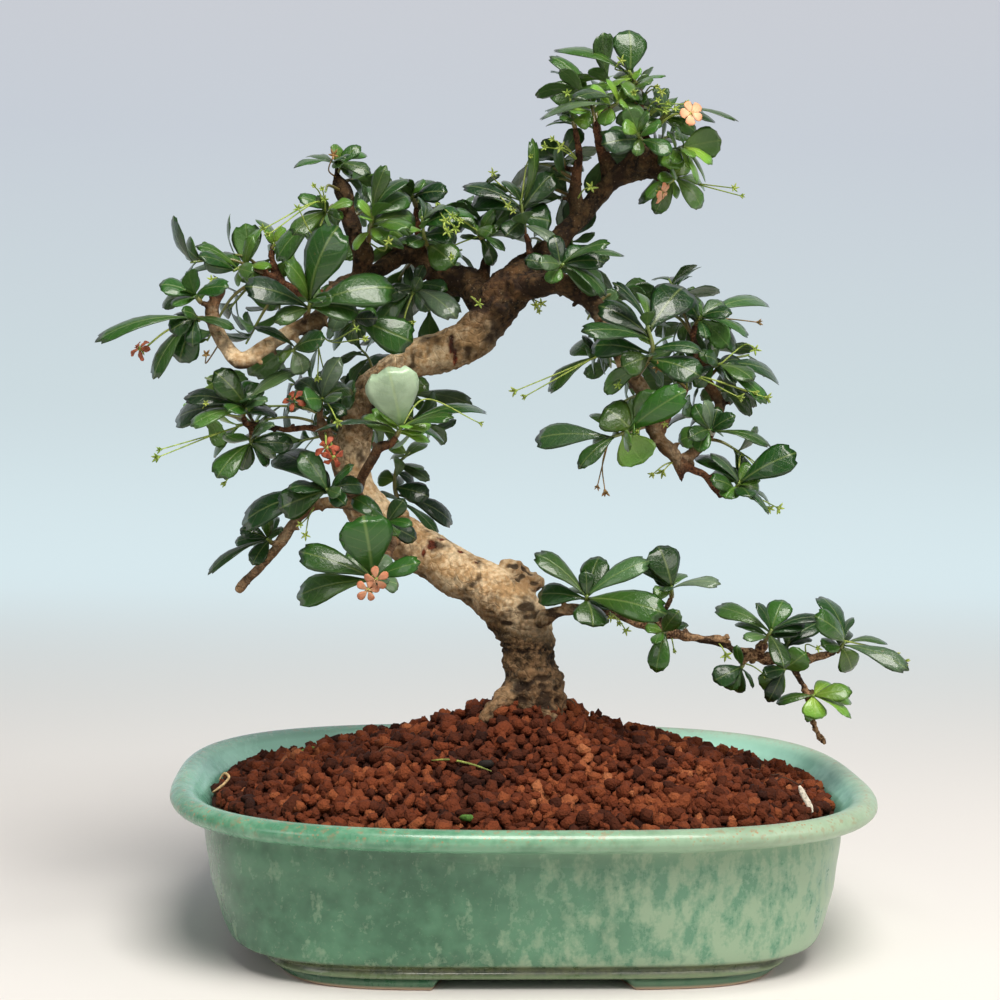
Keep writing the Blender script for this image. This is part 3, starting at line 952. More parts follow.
def bark_material():
    bark = Finish("bark", 0.88, specular=0.25)
    age = bark.mark("age")
    tan = bark.mottle(95.0, 0.9, ink(206, 166, 118), ink(252, 224, 182))
    brown = bark.blend(bark.between(bark.z, 0.12, 0.17), ink(140, 108, 76), ink(84, 62, 38))
    brown = bark.mottle(110.0, 0.9, ink(26, 18, 11), brown)
    trunk = bark.blend(age, tan, brown)
    # dark mossy scales, most on old bark, and a rusty flush here and there
    scales = bark.times(bark.patches(130.0, 1.1), bark.patches(42.0, 0.5))
    scales = bark.times(scales, bark.between(age, 0.0, 1.0, 0.5, 0.95))
    trunk = bark.blend(scales, trunk, bark.mottle(300.0, 0.6, ink(50, 40, 26), ink(96, 76, 48)))
    flush = bark.times(bark.between(bark.patches(60.0, 0.4), 0.72, 0.98), 0.2)
    trunk = bark.blend(flush, trunk, bark.mottle(240.0, 0.6, ink(88, 56, 34), ink(138, 94, 58)))
    twig = bark.blend(bark.between(bark.z, 0.13, 0.16), ink(176, 138, 102), ink(118, 78, 52))
    twig = bark.mottle(210.0, 0.9, ink(54, 30, 20), twig)
    tone = bark.blend(bark.between(bark.mark("girth"), 3.2, 6.2), twig, trunk)
    healed = bark.mottle(420.0, 0.8, ink(58, 32, 22), ink(128, 62, 40))
    tone = bark.blend(bark.between(bark.mark("cut"), 0.15, 0.6), tone, healed)
    tone = bark.blend(bark.between(bark.mark("hollow"), 0.0, -0.6, top=0.85), tone, ink(38, 26, 18))
    pores = bark.times(bark.between(bark.cells(520.0), 0.2, 0.08), 0.15)
    bark.feed("Base Color", bark.blend(pores, tone, ink(214, 190, 156)))
    plates = bark.times(bark.between(bark.cells(260.0, "DISTANCE_TO_EDGE"), 0.0, 0.12), 0.35)
    bark.bump(bark.plus(bark.noise(420.0, 5.0, 0.65), plates), 0.8, 0.0009)
    return bark.material


# How rough and dark the bark is at heights along the trunk: old at its foot, smooth and tan above.
BARK_HEIGHTS = [100, 115, 124, 132, 146, 185, 200, 222, 230, 240, 252]
BARK_AGES = [0.9, 1.0, 0.6, 0.2, 0.1, 0.2, 0.7, 0.6, 0.0, 0.3, 1.0]
GIRTH_BATCH = 20000


def bark_relief(points, normals):
    """Bark stands out and sinks in by two clouds of noise, less on thin or young wood, with level
    wrinkles at the foot and a sunk, rimmed scar at each healed cut. Marks: the wood's diameter, the
    cuts, how deep each point lies, and the bark's age."""
    girth = np.empty(len(points))
    for start in range(0, len(points), GIRTH_BATCH):
        batch = slice(start, start + GIRTH_BATCH)
        distance, part = bark_distance(wood_pieces, points[batch])
        k = np.argmin(distance, axis=1)
        part = part[np.arange(len(k)), k]
        girth[batch] = wood_pieces[k, 3] + (wood_pieces[k, 7] - wood_pieces[k, 3]) * part
    height = points[:, 2] + 5 * cloud(points, 14.0, 34)
    age = np.interp(height, BARK_HEIGHTS, BARK_AGES) + 0.8 * np.clip(-normals[:, 2] - 0.1, 0, 1)
    amount = np.clip(girth / 16, 0.14, 1) * (0.5 + 1.0 * np.clip(age, 0, 1))
    low = np.clip((140 - height) / 20, 0, 1)
    ridge = 1 - np.abs(cloud(points * [1.0, 1.0, 0.75], 3.1, 31)) * 2
    wrinkle = 1 - np.abs(cloud(points * [0.45, 0.45, 1.5], 3.3, 35)) * 2
    ridge = ridge * (1 - low) + 1.5 * wrinkle * low
    relief = amount * (0.8 * cloud(points, 6.0, 30) + 0.34 * ridge + 0.3 * cloud(points, 1.5, 32))
    knobs = 1.3 * cloud(points * [1.0, 1.0, 1.3], 9.0, 36) + 0.5 * cloud(points * [0.6, 0.6, 1.4], 2.2, 37)
    relief += low * (0.5 * wrinkle + knobs)
    for x, z, size in CALLUSES:
        near = np.exp(-(np.linalg.norm(points - on_bark(x, z), axis=1) / (1.25 * size)) ** 2)
        relief += near * (0.5 - 1.3 * np.abs(cloud(points, 3.2, 38)))
        age = age + 0.15 * near
    hollow = relief / amount - 0.8 * low * np.clip(-wrinkle, 0, 1)
    for x, z, size in DARK_BARK:
        hollow -= 0.42 * np.exp(-(np.linalg.norm(points - on_bark(x, z), axis=1) / size) ** 2)
    cut = np.zeros(len(points))
    for x, z, wide, tall in HEALED_CUTS:
        away = np.linalg.norm((points - on_bark(x, z)) / [wide, 0.5 * (wide + tall), tall], axis=1)
        edge = away + 0.5 * cloud(points, 1.5, 33)
        cut = np.maximum(cut, np.clip(1.25 - edge, 0, 1) * 1.3)
        rim = np.exp(-((edge - 1) / 0.22) ** 2)
        relief += 0.3 * min(wide, tall) * (rim - 1.1 * np.clip(1 - edge, 0, 1))
    marks = {"girth": girth, "cut": cut, "hollow": hollow, "age": np.clip(age, 0, 1)}
    return points + normals * relief[:, None], marks


points, normals, quads = melted(*wood_skin(), BARK_LATTICE)
points, marks = bark_relief(points, normals)
body("trunk_and_limbs", points, [quads], bark_material(), nodes=["trunk_and_branches"], marks=marks)


# The leaves: about fifty shoots, each a green stem with 4 to 13 glossy, spoon-shaped blades whose tips
# have three blunt teeth. Old blades are dark green, young ones yellow-green, undersides dull olive.
# Each blade bends clear of wood, flowers and the blades before it, in the order of the list above.
BLADE_ARCH, BLADE_CUP = 0.11, 0.2
BARE_STEM, SHOOT_FOOT, SHOOT_RADIUS = 2.8, 0.45, 1.3
LONG_BLADE, GOLDEN_ANGLE, STALK_SIDES = 20, 137.5, 6
# A bloom is [heads, which way they face, the shoot that bears it].
BLOOMS = {
    "flower_far_left": [[[-153, -18, 233]], [-0.5, -0.7, 0.3], "far_tip"],
    "flower_left": [[[-93, -19, 214]], [-0.3, -0.9, 0.4], "limb_tip"],
    "flowers_low": [[[-63, -31, 141], [-60, -30, 145]], [0, -1, -0.1], "centre_low"],
    "flower_crown": [[[61, -17, 329]], [0.3, -0.9, 0.2], "crown_right"],
}
# Neighbouring blades tip to and fro by turns. A blade that touches something tries each of the bends
# [more lean, more turn, scale] until it lies clear.
TIPPING = (14, -24, 30, -6, -34)
BENDS = [(0, 0, 1), (9, 0, 1), (-9, 0, 1), (18, 10, 1), (-18, 10, 1), (27, -10, 1), (-27, -10, 1),
         (38, 20, 1), (-38, 20, 1), (0, 30, 0.85), (14, -20, 0.85), (-14, -20, 0.85), (30, 0, 0.85),
         (-30, 0, 0.85), (50, 0, 0.9), (-50, 0, 0.9), (0, 20, 0.7), (25, 0, 0.7), (-25, 0, 0.7),
         (45, 0, 0.7), (-45, 0, 0.7)]
# Places [x, z] as seen: the shiniest leaf, two dull ones, and where the youngest leaves are.
PALE_LEAF, SPOT_REACH, YOUNG_REACH = (-56, 216), 7, 13
DARK_LEAVES = [(-81, 270), (37, 137)]
YOUNG_SPOTS = [(66, 306), (-84, 270), (-66, 276), (-134, 211), (-50, 200), (42, 196), (121, 98),
               (26, 336), (-100, 268)]


def unit(vector):
    return vector / np.linalg.norm(vector)


def stream(seed):
    """A repeatable stream of draws between 0 and 1."""
    state = seed
    while True:
        state = (state + 0x6D2B79F5) & 0xFFFFFFFF
        mixed = ((state ^ (state >> 15)) * (state | 1)) & 0xFFFFFFFF
        mixed = ((mixed + (((mixed ^ (mixed >> 7)) * (mixed | 61)) & 0xFFFFFFFF)) & 0xFFFFFFFF) ^ mixed
        yield ((mixed ^ (mixed >> 14)) & 0xFFFFFFFF) / 4294967296


def blade_frame(base, direction, length, lean, width, turn):
    """A blade's foot, the ways it points, faces and spreads, and its size, from angles as seen."""
    phi, tilt, roll = math.radians(direction), math.radians(lean), math.radians(turn)
    axis = np.array([math.cos(tilt) * math.cos(phi), -math.sin(tilt), math.cos(tilt) * math.sin(phi)])
    face = np.array([0.0, -1.0, 0.0])
    face = unit(face - axis * face.dot(axis))
    side = np.cross(axis, face)
    up = np.sign(side[2]) if abs(side[2]) > 0.2 else np.sign(side[0])
    normal = face * math.cos(roll) + side * up * math.sin(roll)
    return base, axis, normal, np.cross(normal, axis), length, width


def on_blade(frame, share, half):
    """Points on a blade's middle sheet, by share of its length and share of its half width."""
    base, axis, normal, across, length, width = frame
    share, out = np.asarray(share)[..., None], np.asarray(half)[..., None] * width / 2
    rise = BLADE_ARCH * length * 4 * share * (1 - share) - BLADE_CUP * np.abs(out)
    return base + axis * length * share + across * out + normal * rise


SAMPLE_SHARE = np.repeat(0.2 + 0.8 * np.arange(8) / 7, 5)
SAMPLE_HALF = (np.minimum(1, SAMPLE_SHARE / 0.6) * np.where(SAMPLE_SHARE > 0.9, 0.5, 1)
               * np.tile([-0.9, -0.45, 0, 0.45, 0.9], 8))
ROOT_SHARE, ROOT_HALF = np.repeat([0.08, 0.16, 0.24, 0.32], 3), np.tile([-0.5, 0, 0.5], 4)


def point_along(stem, share):
    """The point at a share of the stem's length."""
    lengths = np.linalg.norm(np.diff(stem, axis=0), axis=1)
    left = share * lengths.sum()
    for i, length in enumerate(lengths):
        if left <= length or i == len(lengths) - 1:
            return stem[i] + (stem[i + 1] - stem[i]) * left / length
        left -= length


def stalk_foot(heads, shoot):
    """Where a bloom's stalk starts: beside the bare part of its shoot."""
    stem = stems[shoot]
    axis = unit(stem[1] - stem[0])
    start = stem[0] + axis * 0.3 * BARE_STEM
    out = heads[0, :3] - start
    out = unit(out - axis * out.dot(axis))
    widening = (SHOOT_RADIUS - SHOOT_FOOT) * 0.3 * BARE_STEM / np.linalg.norm(stem[1] - stem[0])
    return start + out * (0.85 * (SHOOT_FOOT + widening) + GAP + 0.6)


for bloom in BLOOMS.values():
    bloom[0] = spread(bloom[0])
    bloom.append(stalk_foot(bloom[0], bloom[2]))


# A blade stays this far from the wood, at its foot and further out, and from the other blades.
FOOT_ROOM, WOOD_ROOM, LEAF_ROOM = 0.6, 1.3, 2.6
BEYOND_FOOT, OUTER_HALF = 0.35, 0.5


def placed_blades():
    """Every blade's frame and the shoot that it grows on."""
    spots = [[point_along(stem, k / 6) for k in range(7)] for stem in stems.values()]
    owners = [np.full(7, index) for index in range(len(stems))]
    for heads, _, _, foot in BLOOMS.values():
        near = [head + [dx, 0, dz] for head in heads for dx in (-3, 0, 3) for dz in (-3, 0, 3)]
        near += [foot + (head - foot) * k / 4 for head in heads for k in range(5)]
        spots.append(near)
        owners.append(np.full(len(near), -1))
    taken, taken_owner = np.vstack(spots), np.concatenate(owners)
    sisters = [np.zeros((0, 3)) for _ in stems]

    def far(points, others, least):
        return not len(others) or ((points[:, None] - others[None]) ** 2).sum(axis=2).min() >= least ** 2

    def place(owner, base, direction, length, lean, width, turn):
        nonlocal taken, taken_owner
        for more_lean, more_turn, scale in BENDS:
            bent = max(-75, min(75, lean + more_lean))
            frame = blade_frame(base, direction, length * scale, bent, width * scale, turn + more_turn)
            samples = on_blade(frame, SAMPLE_SHARE, SAMPLE_HALF)
            root, beyond = on_blade(frame, ROOT_SHARE, ROOT_HALF), samples[SAMPLE_SHARE >= BEYOND_FOOT]
            outer = samples[SAMPLE_SHARE >= OUTER_HALF]
            if (bark_distance(bark_pieces, root)[0].min() < FOOT_ROOM
                    or bark_distance(bark_pieces, beyond)[0].min() < WOOD_ROOM
                    or not far(samples, taken[taken_owner != owner], LEAF_ROOM)
                    or not far(outer, sisters[owner], LEAF_ROOM)):
                continue
            taken = np.vstack([taken, samples])
            taken_owner = np.append(taken_owner, np.full(len(samples), owner))
            sisters[owner] = np.vstack([sisters[owner], outer])
            frames.append(frame)
            frame_owners.append(owner)
            return

    frames, frame_owners = [], []
    for owner, name in enumerate(SHOOTS):
        stem, leaves = stems[name], SHOOTS[name][2]
        bare = min(0.6, BARE_STEM / np.linalg.norm(stem[0] - stem[-1]))
        for k, (direction, length, lean, width, turn) in enumerate(leaves):
            base = point_along(stem, bare + (1 - bare) * (k + 0.5) / len(leaves))
            tilt = max(-50, min(50, lean + TIPPING[k % 5]))
            longer = math.cos(math.radians(lean)) / math.cos(math.radians(tilt))
            place(owner, base, direction, length * longer, tilt, width, turn)
    for owner, name in enumerate(SHOOTS):
        draw = stream(900 + owner)
        for k in range(SHOOTS[name][1]):
            direction = 90 + GOLDEN_ANGLE * (k + owner) + 30 * next(draw)
            length = 11 + 7 * next(draw)
            lean = -45 - 20 * next(draw)
            width = length * (0.4 + 0.1 * next(draw))
            turn = 20 + 40 * next(draw)
            place(owner, point_along(stems[name], 0.9), direction, length, lean, width, turn)
    return [np.array(part) for part in zip(*frames)], np.array(frame_owners)


# Rows of a blade run from its foot to its tip, columns from edge to edge. The tip's line is scalloped.
ROWS = np.array([0, 0.12, 0.28, 0.45, 0.62, 0.78, 0.9, 1.0])
SIDE = np.array([0, 0.22, 0.52, 0.77, 1.0])
COLUMNS = np.concatenate([-SIDE[:0:-1], SIDE])
TOOTHED_WIDTH = np.array([0.1, 0.15, 0.4, 0.68, 0.92, 1.02, 0.98, 0.82])
TOOTHED_END = np.array([1.0, 0.985, 0.94, 0.95, 0.885])
PLAIN_WIDTH = np.array([0.12, 0.22, 0.54, 0.8, 0.97, 1.0, 0.94, 0.76])
PLAIN_END = np.array([1.0, 0.985, 0.945, 0.93, 0.85])


def blade_bodies(parts, seed):
    """Thin closed blades, all at once: an upper and a lower sheet that share their rim."""
    base, axis, normal, across, length, width = parts
    count = len(length)
    draw = np.random.default_rng(seed)
    long = (length > LONG_BLADE)[:, None, None]
    profile = np.where(long, TOOTHED_WIDTH[:, None], PLAIN_WIDTH[:, None])
    ends = [np.concatenate([end[:0:-1], end]) for end in (TOOTHED_END, PLAIN_END)]
    end = np.where(long, ends[0], ends[1])
    u, v = ROWS[:, None], COLUMNS[None, :]
    share = 0.93 * u + (end - 0.93) * u ** 4
    half = profile * v
    size, wide = length[:, None, None], 1.08 * width[:, None, None] / 2
    out = half * wide
    wave, phase = draw.uniform(0.1, 0.6, (count, 1, 1)), draw.uniform(0, 6.28, (count, 1, 1))
    curl, swing = draw.uniform(-0.01, 0.05, (count, 1, 1)), draw.uniform(-0.05, 0.05, (count, 1, 1))
    groove = 0.12 * np.exp(-(out / 0.5) ** 2) * (u > 0.15)
    ripple = wave * half ** 2 * np.sin(9 * share + phase + 2 * v)
    rise = (BLADE_ARCH * size * 4 * share * (1 - share) - BLADE_CUP * (np.sqrt(out ** 2 + 3) - 1.5)
            - groove + ripple - curl * size * share ** 5)
    out = out + swing * size * share ** 2
    spine = 0.25 * np.exp(-(v * profile * wide / 0.7) ** 2) * (1 - 0.7 * share)
    thick = 0.24 * (1 - np.abs(v) ** 5) + spine
    sheet = [base[:, None, None] + axis[:, None, None] * (size * share)[..., None]
             + across[:, None, None] * out[..., None] + normal[:, None, None] * (rise + lift)[..., None]
             for lift in (0.5 * thick, -0.8 * thick)]
    upper, lower = sheet
    rim = np.ones(upper.shape[1:3], bool)
    rim[1:-1, 1:-1] = False
    middle = (upper + lower) / 2
    upper = np.where(rim[..., None], middle, upper)
    rows, columns = rim.shape
    grid = np.arange(rows * columns).reshape(rows, columns)
    under = grid.copy()
    inside = np.arange((rows - 2) * (columns - 2)).reshape(rows - 2, columns - 2)
    under[1:-1, 1:-1] = rows * columns + inside
    faces = grid_faces(rows, columns, False)
    faces = np.vstack([faces[:, ::-1], under.ravel()[faces]])
    inner = lower[:, 1:-1, 1:-1].reshape(count, -1, 3)
    points = np.concatenate([upper.reshape(count, -1, 3), inner], axis=1)
    marks = {}
    for name, values in (("along", share), ("across", half)):
        values = np.broadcast_to(values, upper.shape[:3])
        flat = [values.reshape(count, -1), values[:, 1:-1, 1:-1].reshape(count, -1)]
        marks[name] = np.concatenate(flat, axis=1)
    marks["under"] = np.zeros(points.shape[:2])
    marks["under"][:, rows * columns:] = 1
    return points, faces, marks


def leaf_material():
    leaf = Finish("leaf", 0.3, coat=0.42, specular=0.4)
    along, across = leaf.mark("along"), leaf.math("ABSOLUTE", leaf.mark("across"))
    old = leaf.blend(leaf.mark("tone"), ink(8, 34, 14), ink(48, 100, 28))
    old = leaf.blend(leaf.times(leaf.patches(120.0, 0.5), 0.25), old, ink(34, 84, 22))
    young = leaf.blend(along, ink(150, 182, 62), ink(104, 160, 54))
    tone = leaf.blend(leaf.mark("youth"), old, young)
    sheen = leaf.between(leaf.patches(55.0, 0.15), 0.0, 1.0, 0.5, 1.0)
    tone = leaf.blend(leaf.times(leaf.mark("wax"), sheen), tone, ink(180, 204, 170))
    # a pale midrib, and faint veins that leave it on a slant
    rib = leaf.between(across, 0.08, 0.02)
    slanted = leaf.minus(leaf.times(along, 44.0), leaf.times(across, 9.0))
    vein = leaf.times(leaf.between(leaf.math("SINE", slanted), 0.86, 1.0), leaf.between(across, 0.95, 0.5))
    veins = leaf.math("MAXIMUM", leaf.times(rib, 0.75), leaf.times(vein, 0.22))
    tone = leaf.blend(veins, tone, leaf.blend(0.22, tone, ink(190, 206, 120)))
    under = leaf.mark("under")
    tone = leaf.blend(under, tone, leaf.blend(0.5, tone, ink(78, 116, 54)))
    blemish = leaf.between(leaf.noise(420.0, 3.0), 0.7, 0.78)
    tone = leaf.blend(leaf.times(blemish, 0.4), tone, ink(112, 92, 44))
    stem = leaf.blend(along, ink(112, 84, 52), ink(120, 142, 66))
    leaf.feed("Base Color", leaf.blend(leaf.mark("blade"), stem, tone))
    leaf.feed("Roughness", leaf.between(under, 0.0, 1.0, 0.28, 0.6))
    height = leaf.plus(leaf.times(veins, -0.5), leaf.times(leaf.noise(700.0, 4.0, 0.6), 1.3))
    leaf.bump(height, 0.6, 0.0004)
    return leaf.material


# Places [x, y, z] of the tips of thin twigs, whose rosettes fill the foliage out to its seen outline.
SPRAYS = [
    (-69, 10, 301), (-82, -8, 296), (-67, 15, 287), (-90, 10, 283), (-79, 18, 279), (-57, 12, 276),
    (-51, 15, 267), (-38, 8, 291), (-32, 16, 291), (-20, 5, 301), (-20, 14, 285), (-27, 14, 276),
    (-136, 5, 268), (-121, 12, 250), (-101, 12, 248), (-114, 10, 236), (-130, 14, 237), (-70, 18, 258),
    (-69, 14, 236), (-40, 16, 250), (-130, 8, 222), (-96, 12, 220), (-106, 12, 211), (-87, 14, 209),
    (-78, 5, 211), (-118, 12, 203), (-134, 6, 202), (-92, 10, 197), (-57, 14, 202), (-39, 14, 202),
    (-80, 12, 254), (-58, 18, 255), (-48, 6, 279), (-75, 4, 308), (-127, 12, 272), (-105, 10, 270),
    (-111, 14, 260), (-61, 4, 290), (-44, 10, 297), (-36, 18, 266), (27, 6, 345), (24, 8, 331),
    (-2, 10, 310), (-8, 12, 300), (12, 10, 297), (7, 6, 304), (30, 8, 315), (56, 2, 323), (56, 4, 310),
    (-15, 8, 284), (1, 10, 281), (18, 10, 277), (37, 0, 256), (23, -6, 248), (56, -2, 265),
    (52, -4, 252), (64, 2, 247), (57, -6, 236), (77, -2, 237), (89, -4, 235), (81, -6, 222),
    (37, -8, 215), (33, -4, 229), (65, -8, 210), (58, -4, 224), (39, 4, 339), (47, 2, 333),
    (17, 6, 342), (107, -12, 120), (86, -14, 195)]
SPRAY_GROUPS, FIRST_SPRAY, MOST_NEW_BLADES = 8, 1000, 1400
# Places [x, z, radius] in the seen picture where no rosette hides the sky or the bare wood.
KEEP_CLEAR = [
    (-85, 312, 4), (-90, 308, 4), (-83, 301, 4), (-91, 295, 4), (-63, 310, 3), (-44, 306, 4),
    (-34, 298, 4), (-20, 308, 4), (-11, 310, 4), (-5, 319, 3), (-129, 283, 6), (-104, 289, 4),
    (-98, 281, 4), (-144, 259, 3), (-139, 221, 4), (-144, 208, 3), (-134, 193, 6), (-137, 200, 4),
    (-120, 185, 3), (-131, 228, 4), (-92, 230, 4), (-80, 234, 3), (16, 250, 6), (20, 243, 4),
    (27, 218, 6), (35, 222, 3), (58, 276, 4), (55, 270, 4), (36, 266, 4), (87, 248, 4), (89, 244, 3),
    (82, 200, 4), (104, 193, 5), (88, 173, 3), (52, 296, 3), (66, 297, 3), (72, 318, 3), (47, 195, 4),
    (-44, 194, 3), (-94, 155, 3), (-103, 214, 3), (-23, 276, 5), (-8, 274, 5), (-78, 302, 3),
    (-76, 297, 3), (-74, 291, 3), (-72, 284, 3), (-69, 279, 3), (-66, 275, 3), (-48, 274, 3),
    (-54, 270, 3), (-60, 265, 3), (-65, 262, 3), (-124, 256, 3), (-129, 251, 3), (-129, 244, 3),
    (-126, 236, 3), (-122, 230, 3), (-116, 229, 3), (-110, 233, 3), (-103, 236, 3), (-96, 241, 3),
    (-89, 245, 3)]
FAR_AWAY = 1e6
SISTER_ROOM, BLADE_ROOM, BARK_ROOM = 9.0, 1.35, 0.9


class Thicket:
    """The middle sheets of all blades placed so far, and whose they are, to keep new blades clear."""

    def __init__(self, room):
        self.sheets = np.zeros((room, len(SAMPLE_SHARE), 3))
        self.middles = np.full((room, 3), FAR_AWAY)
        self.reach, self.homes, self.count = np.zeros(room), np.full(room, -1), 0

    def keep(self, sheet, home):
        """Takes a blade's middle sheet in."""
        k = self.count
        self.sheets[k], self.middles[k], self.homes[k] = sheet, sheet.mean(axis=0), home
        self.reach[k] = np.linalg.norm(sheet - self.middles[k], axis=1).max()
        self.count += 1

    def clear(self, sheet, home):
        """Whether a blade hides none of the open places and stays off the others. Near their feet,
        blades of one rosette may touch."""
        depth = -VIEWER[1] / (sheet[:, 1:2] - VIEWER[1])
        seen = np.array(VIEWER)[[0, 2]] + (sheet[:, [0, 2]] - np.array(VIEWER)[[0, 2]]) * depth
        spots = np.array(KEEP_CLEAR)
        if np.any(np.linalg.norm(seen[:, None] - spots[None, :, :2], axis=2) < spots[:, 2]):
            return False
        middle = sheet.mean(axis=0)
        reach = np.linalg.norm(sheet - middle, axis=1).max() + 1.5
        near = np.flatnonzero(np.linalg.norm(self.middles - middle, axis=1) < self.reach + reach)
        if not len(near):
            return True
        gap = np.linalg.norm(self.sheets[near][:, :, None] - sheet[None, None], axis=3)
        outer = SAMPLE_SHARE >= 0.45
        sister = (self.homes[near] == home)[:, None, None] & ~(outer[:, None] & outer[None])[None]
        return np.where(sister, SISTER_ROOM, gap).min() > BLADE_ROOM


def rosette(thicket, home, stem, count, start, size, draw):
    """Blades round a stem from its start share to its tip, each a golden angle on from the last, more
    upright towards the tip, and facing along the stem. One that finds no free place is left out."""
    grown = []
    for k in range(count):
        part = (k + 0.5) / count
        base = point_along(stem, start + (1 - start) * part)
        axis = unit(stem[-1] - stem[-2])
        first = unit(np.cross(axis, [0.3, 0.9, 0.2]))
        second = np.cross(axis, first)
        length = size * draw.uniform(0.75, 1.25)
        for trial in range(6):
            angle = 2.4 * (k + home) + draw.uniform(-0.5, 0.5) + 0.5 * trial
            tilt = math.radians(98 - 46 * part) + draw.uniform(-0.4, 0.4)
            out = math.cos(angle) * first + math.sin(angle) * second
            way = unit(math.cos(tilt) * axis + math.sin(tilt) * out + [0, 0, 0.12])
            facing = axis + [0, -0.25, 0.35]
            normal = unit(facing - way * way.dot(facing))
            across = np.cross(normal, way)
            roll = draw.uniform(-0.35, 0.35)
            normal = math.cos(roll) * normal + math.sin(roll) * across
            long = length * (1 - 0.07 * trial)
            blade = (base, way, normal, np.cross(normal, way), long, long * draw.uniform(0.42, 0.56))
            sheet = on_blade(blade, SAMPLE_SHARE, SAMPLE_HALF)
            bark_gap = bark_distance(bark_pieces, sheet[SAMPLE_SHARE >= BEYOND_FOOT])[0].min()
            if bark_gap > BARK_ROOM and thicket.clear(sheet, home):
                thicket.keep(sheet, home)
                grown.append(blade)
                break
    return grown


def undergrowth(parts, owners):
    """More rosettes on the shoots, and new ones on the twigs of the sprays. Gives each one's blades, and
    its twig, or None on a shoot."""
    draw = np.random.default_rng(63)
    thicket = Thicket(len(owners) + MOST_NEW_BLADES)
    for owner, blade in zip(owners, zip(*parts)):
        thicket.keep(on_blade(blade, SAMPLE_SHARE, SAMPLE_HALF), owner)
    grown = []
    for owner, stem in enumerate(stems.values()):
        count = 5 if stem[-1, 2] > 150 else 2
        grown.append((rosette(thicket, owner, stem, count, 0.1, 13.5, draw), None))
    for k, place in enumerate(SPRAYS):
        tip = spread([place])[0]
        distance, part = bark_distance(wood_pieces, tip[None])
        near = int(np.argmin(distance[0]))
        root = wood_pieces[near, :3] + (wood_pieces[near, 4:7] - wood_pieces[near, :3]) * part[0, near]
        reach = np.linalg.norm(tip - root)
        bow = reach * np.array([draw.uniform(-0.1, 0.1), draw.uniform(-0.1, 0.1), 0.12])
        twig = curve_through([root, (root + tip) / 2 + bow, tip], 1.5)
        start = max(0.3, 1 - 11 / reach)
        grown.append((rosette(thicket, FIRST_SPRAY + k, twig, 6, start, 16.5, draw), twig))
    return grown


def joined_shoot(name, blades, marks, stalks, material, nodes):
    """One piece from blades (points and faces of all alike) and woody or green stalks."""
    points, faces = blades
    each = points.shape[1]
    shifts = (np.arange(len(points)) * each)[:, None, None]
    parts, lots = [points.reshape(-1, 3)], [(faces[None] + shifts).reshape(-1, 4)]
    values = {key: [np.asarray(value).ravel()] for key, value in marks.items()}
    caps, start = [], len(points) * each
    for line, radii in stalks:
        stalk, quads, ends = tube(line, radii, STALK_SIDES)
        parts.append(stalk)
        lots.append(quads + start)
        caps.append(ends + start)
        start += len(stalk)
        for key in values:
            along = np.append(np.repeat(np.linspace(0, 1, len(line)), STALK_SIDES), [0, 1])
            values[key].append(along if key == "along" else np.zeros(len(stalk)))
    body(name, np.vstack(parts), [np.vstack(lots), np.vstack(caps)], material, nodes=nodes,
         marks={key: np.concatenate(value) for key, value in values.items()})


def leafy_shoots():
    """One piece for each shoot with its stem, and a few pieces that share out all the rosettes."""
    parts, owners = placed_blades()
    extra = undergrowth(parts, owners)
    material = leaf_material()
    draw = np.random.default_rng(62)

    def marked(parts, seed, darker):
        """Blades with their marks: young ones are short or near a young spot, the wax is chance."""
        points, faces, marks = blade_bodies(parts, seed)
        base, axis, length = parts[0], parts[1], parts[4]
        count = len(length)
        tips = (base + axis * length[:, None] * 0.6)[:, [0, 2]]
        near = np.linalg.norm(tips[:, None] - np.array(YOUNG_SPOTS)[None], axis=2).min(axis=1)
        youth = np.exp(-(near / YOUNG_REACH) ** 2) * draw.uniform(0.4, 1.3, count)
        youth = youth * np.clip((25 - length) / 8, 0.1, 1)
        youth = youth + np.clip(1.1 - length / 10, 0, 0.8) + draw.normal(0.02, 0.07, count)
        tone = draw.beta(0.9, 1.9, count) * (1 - darker)
        wax = np.clip(draw.normal(-0.12, 0.17, count), 0, 0.35) * (1 - np.clip(2 * youth, 0, 1))
        wax = wax * (1 - darker)
        shiny = 1.3 * np.exp(-(np.linalg.norm(tips - PALE_LEAF, axis=1) / SPOT_REACH) ** 2) * (length > 24)
        wax = np.maximum(wax, shiny)
        for dark in DARK_LEAVES:
            chosen = (np.linalg.norm(tips - dark, axis=1) < SPOT_REACH) & (length > LONG_BLADE)
            tone, wax = np.where(chosen, 0.35, tone), np.where(chosen, 0.0, wax)
        for name, values in (("wax", wax), ("youth", np.clip(youth, 0, 1)), ("tone", tone)):
            marks[name] = np.repeat(values[:, None], points.shape[1], 1)
        marks["blade"] = np.ones(points.shape[:2])
        return points, faces, marks

    points, faces, marks = marked(parts, 61, 0.0)
    for owner, name in enumerate(SHOOTS):
        chosen = owners == owner
        stem = curve_through(stems[name], 0.8)
        radii = np.interp(np.linspace(0, 1, len(stem)), [0, 0.25, 1], [1.0, 1.1, 0.6])
        own = {key: value[chosen] for key, value in marks.items()}
        joined_shoot("leaves_" + name, (points[chosen], faces), own, [(stem, radii)], material,
                     ["shoot_" + name])
    for group in range(SPRAY_GROUPS):
        lot = [extra[k] for k in range(group, len(extra), SPRAY_GROUPS)]
        frames = [blade for blades, _ in lot for blade in blades]
        points, faces, marks = marked([np.array(part) for part in zip(*frames)], 70 + group, 0.35)
        stalks = [(twig, np.linspace(0.8, 0.45, len(twig))) for _, twig in lot if twig is not None]
        joined_shoot(f"rosettes_{group + 1}", (points, faces), marks, stalks, material, [])


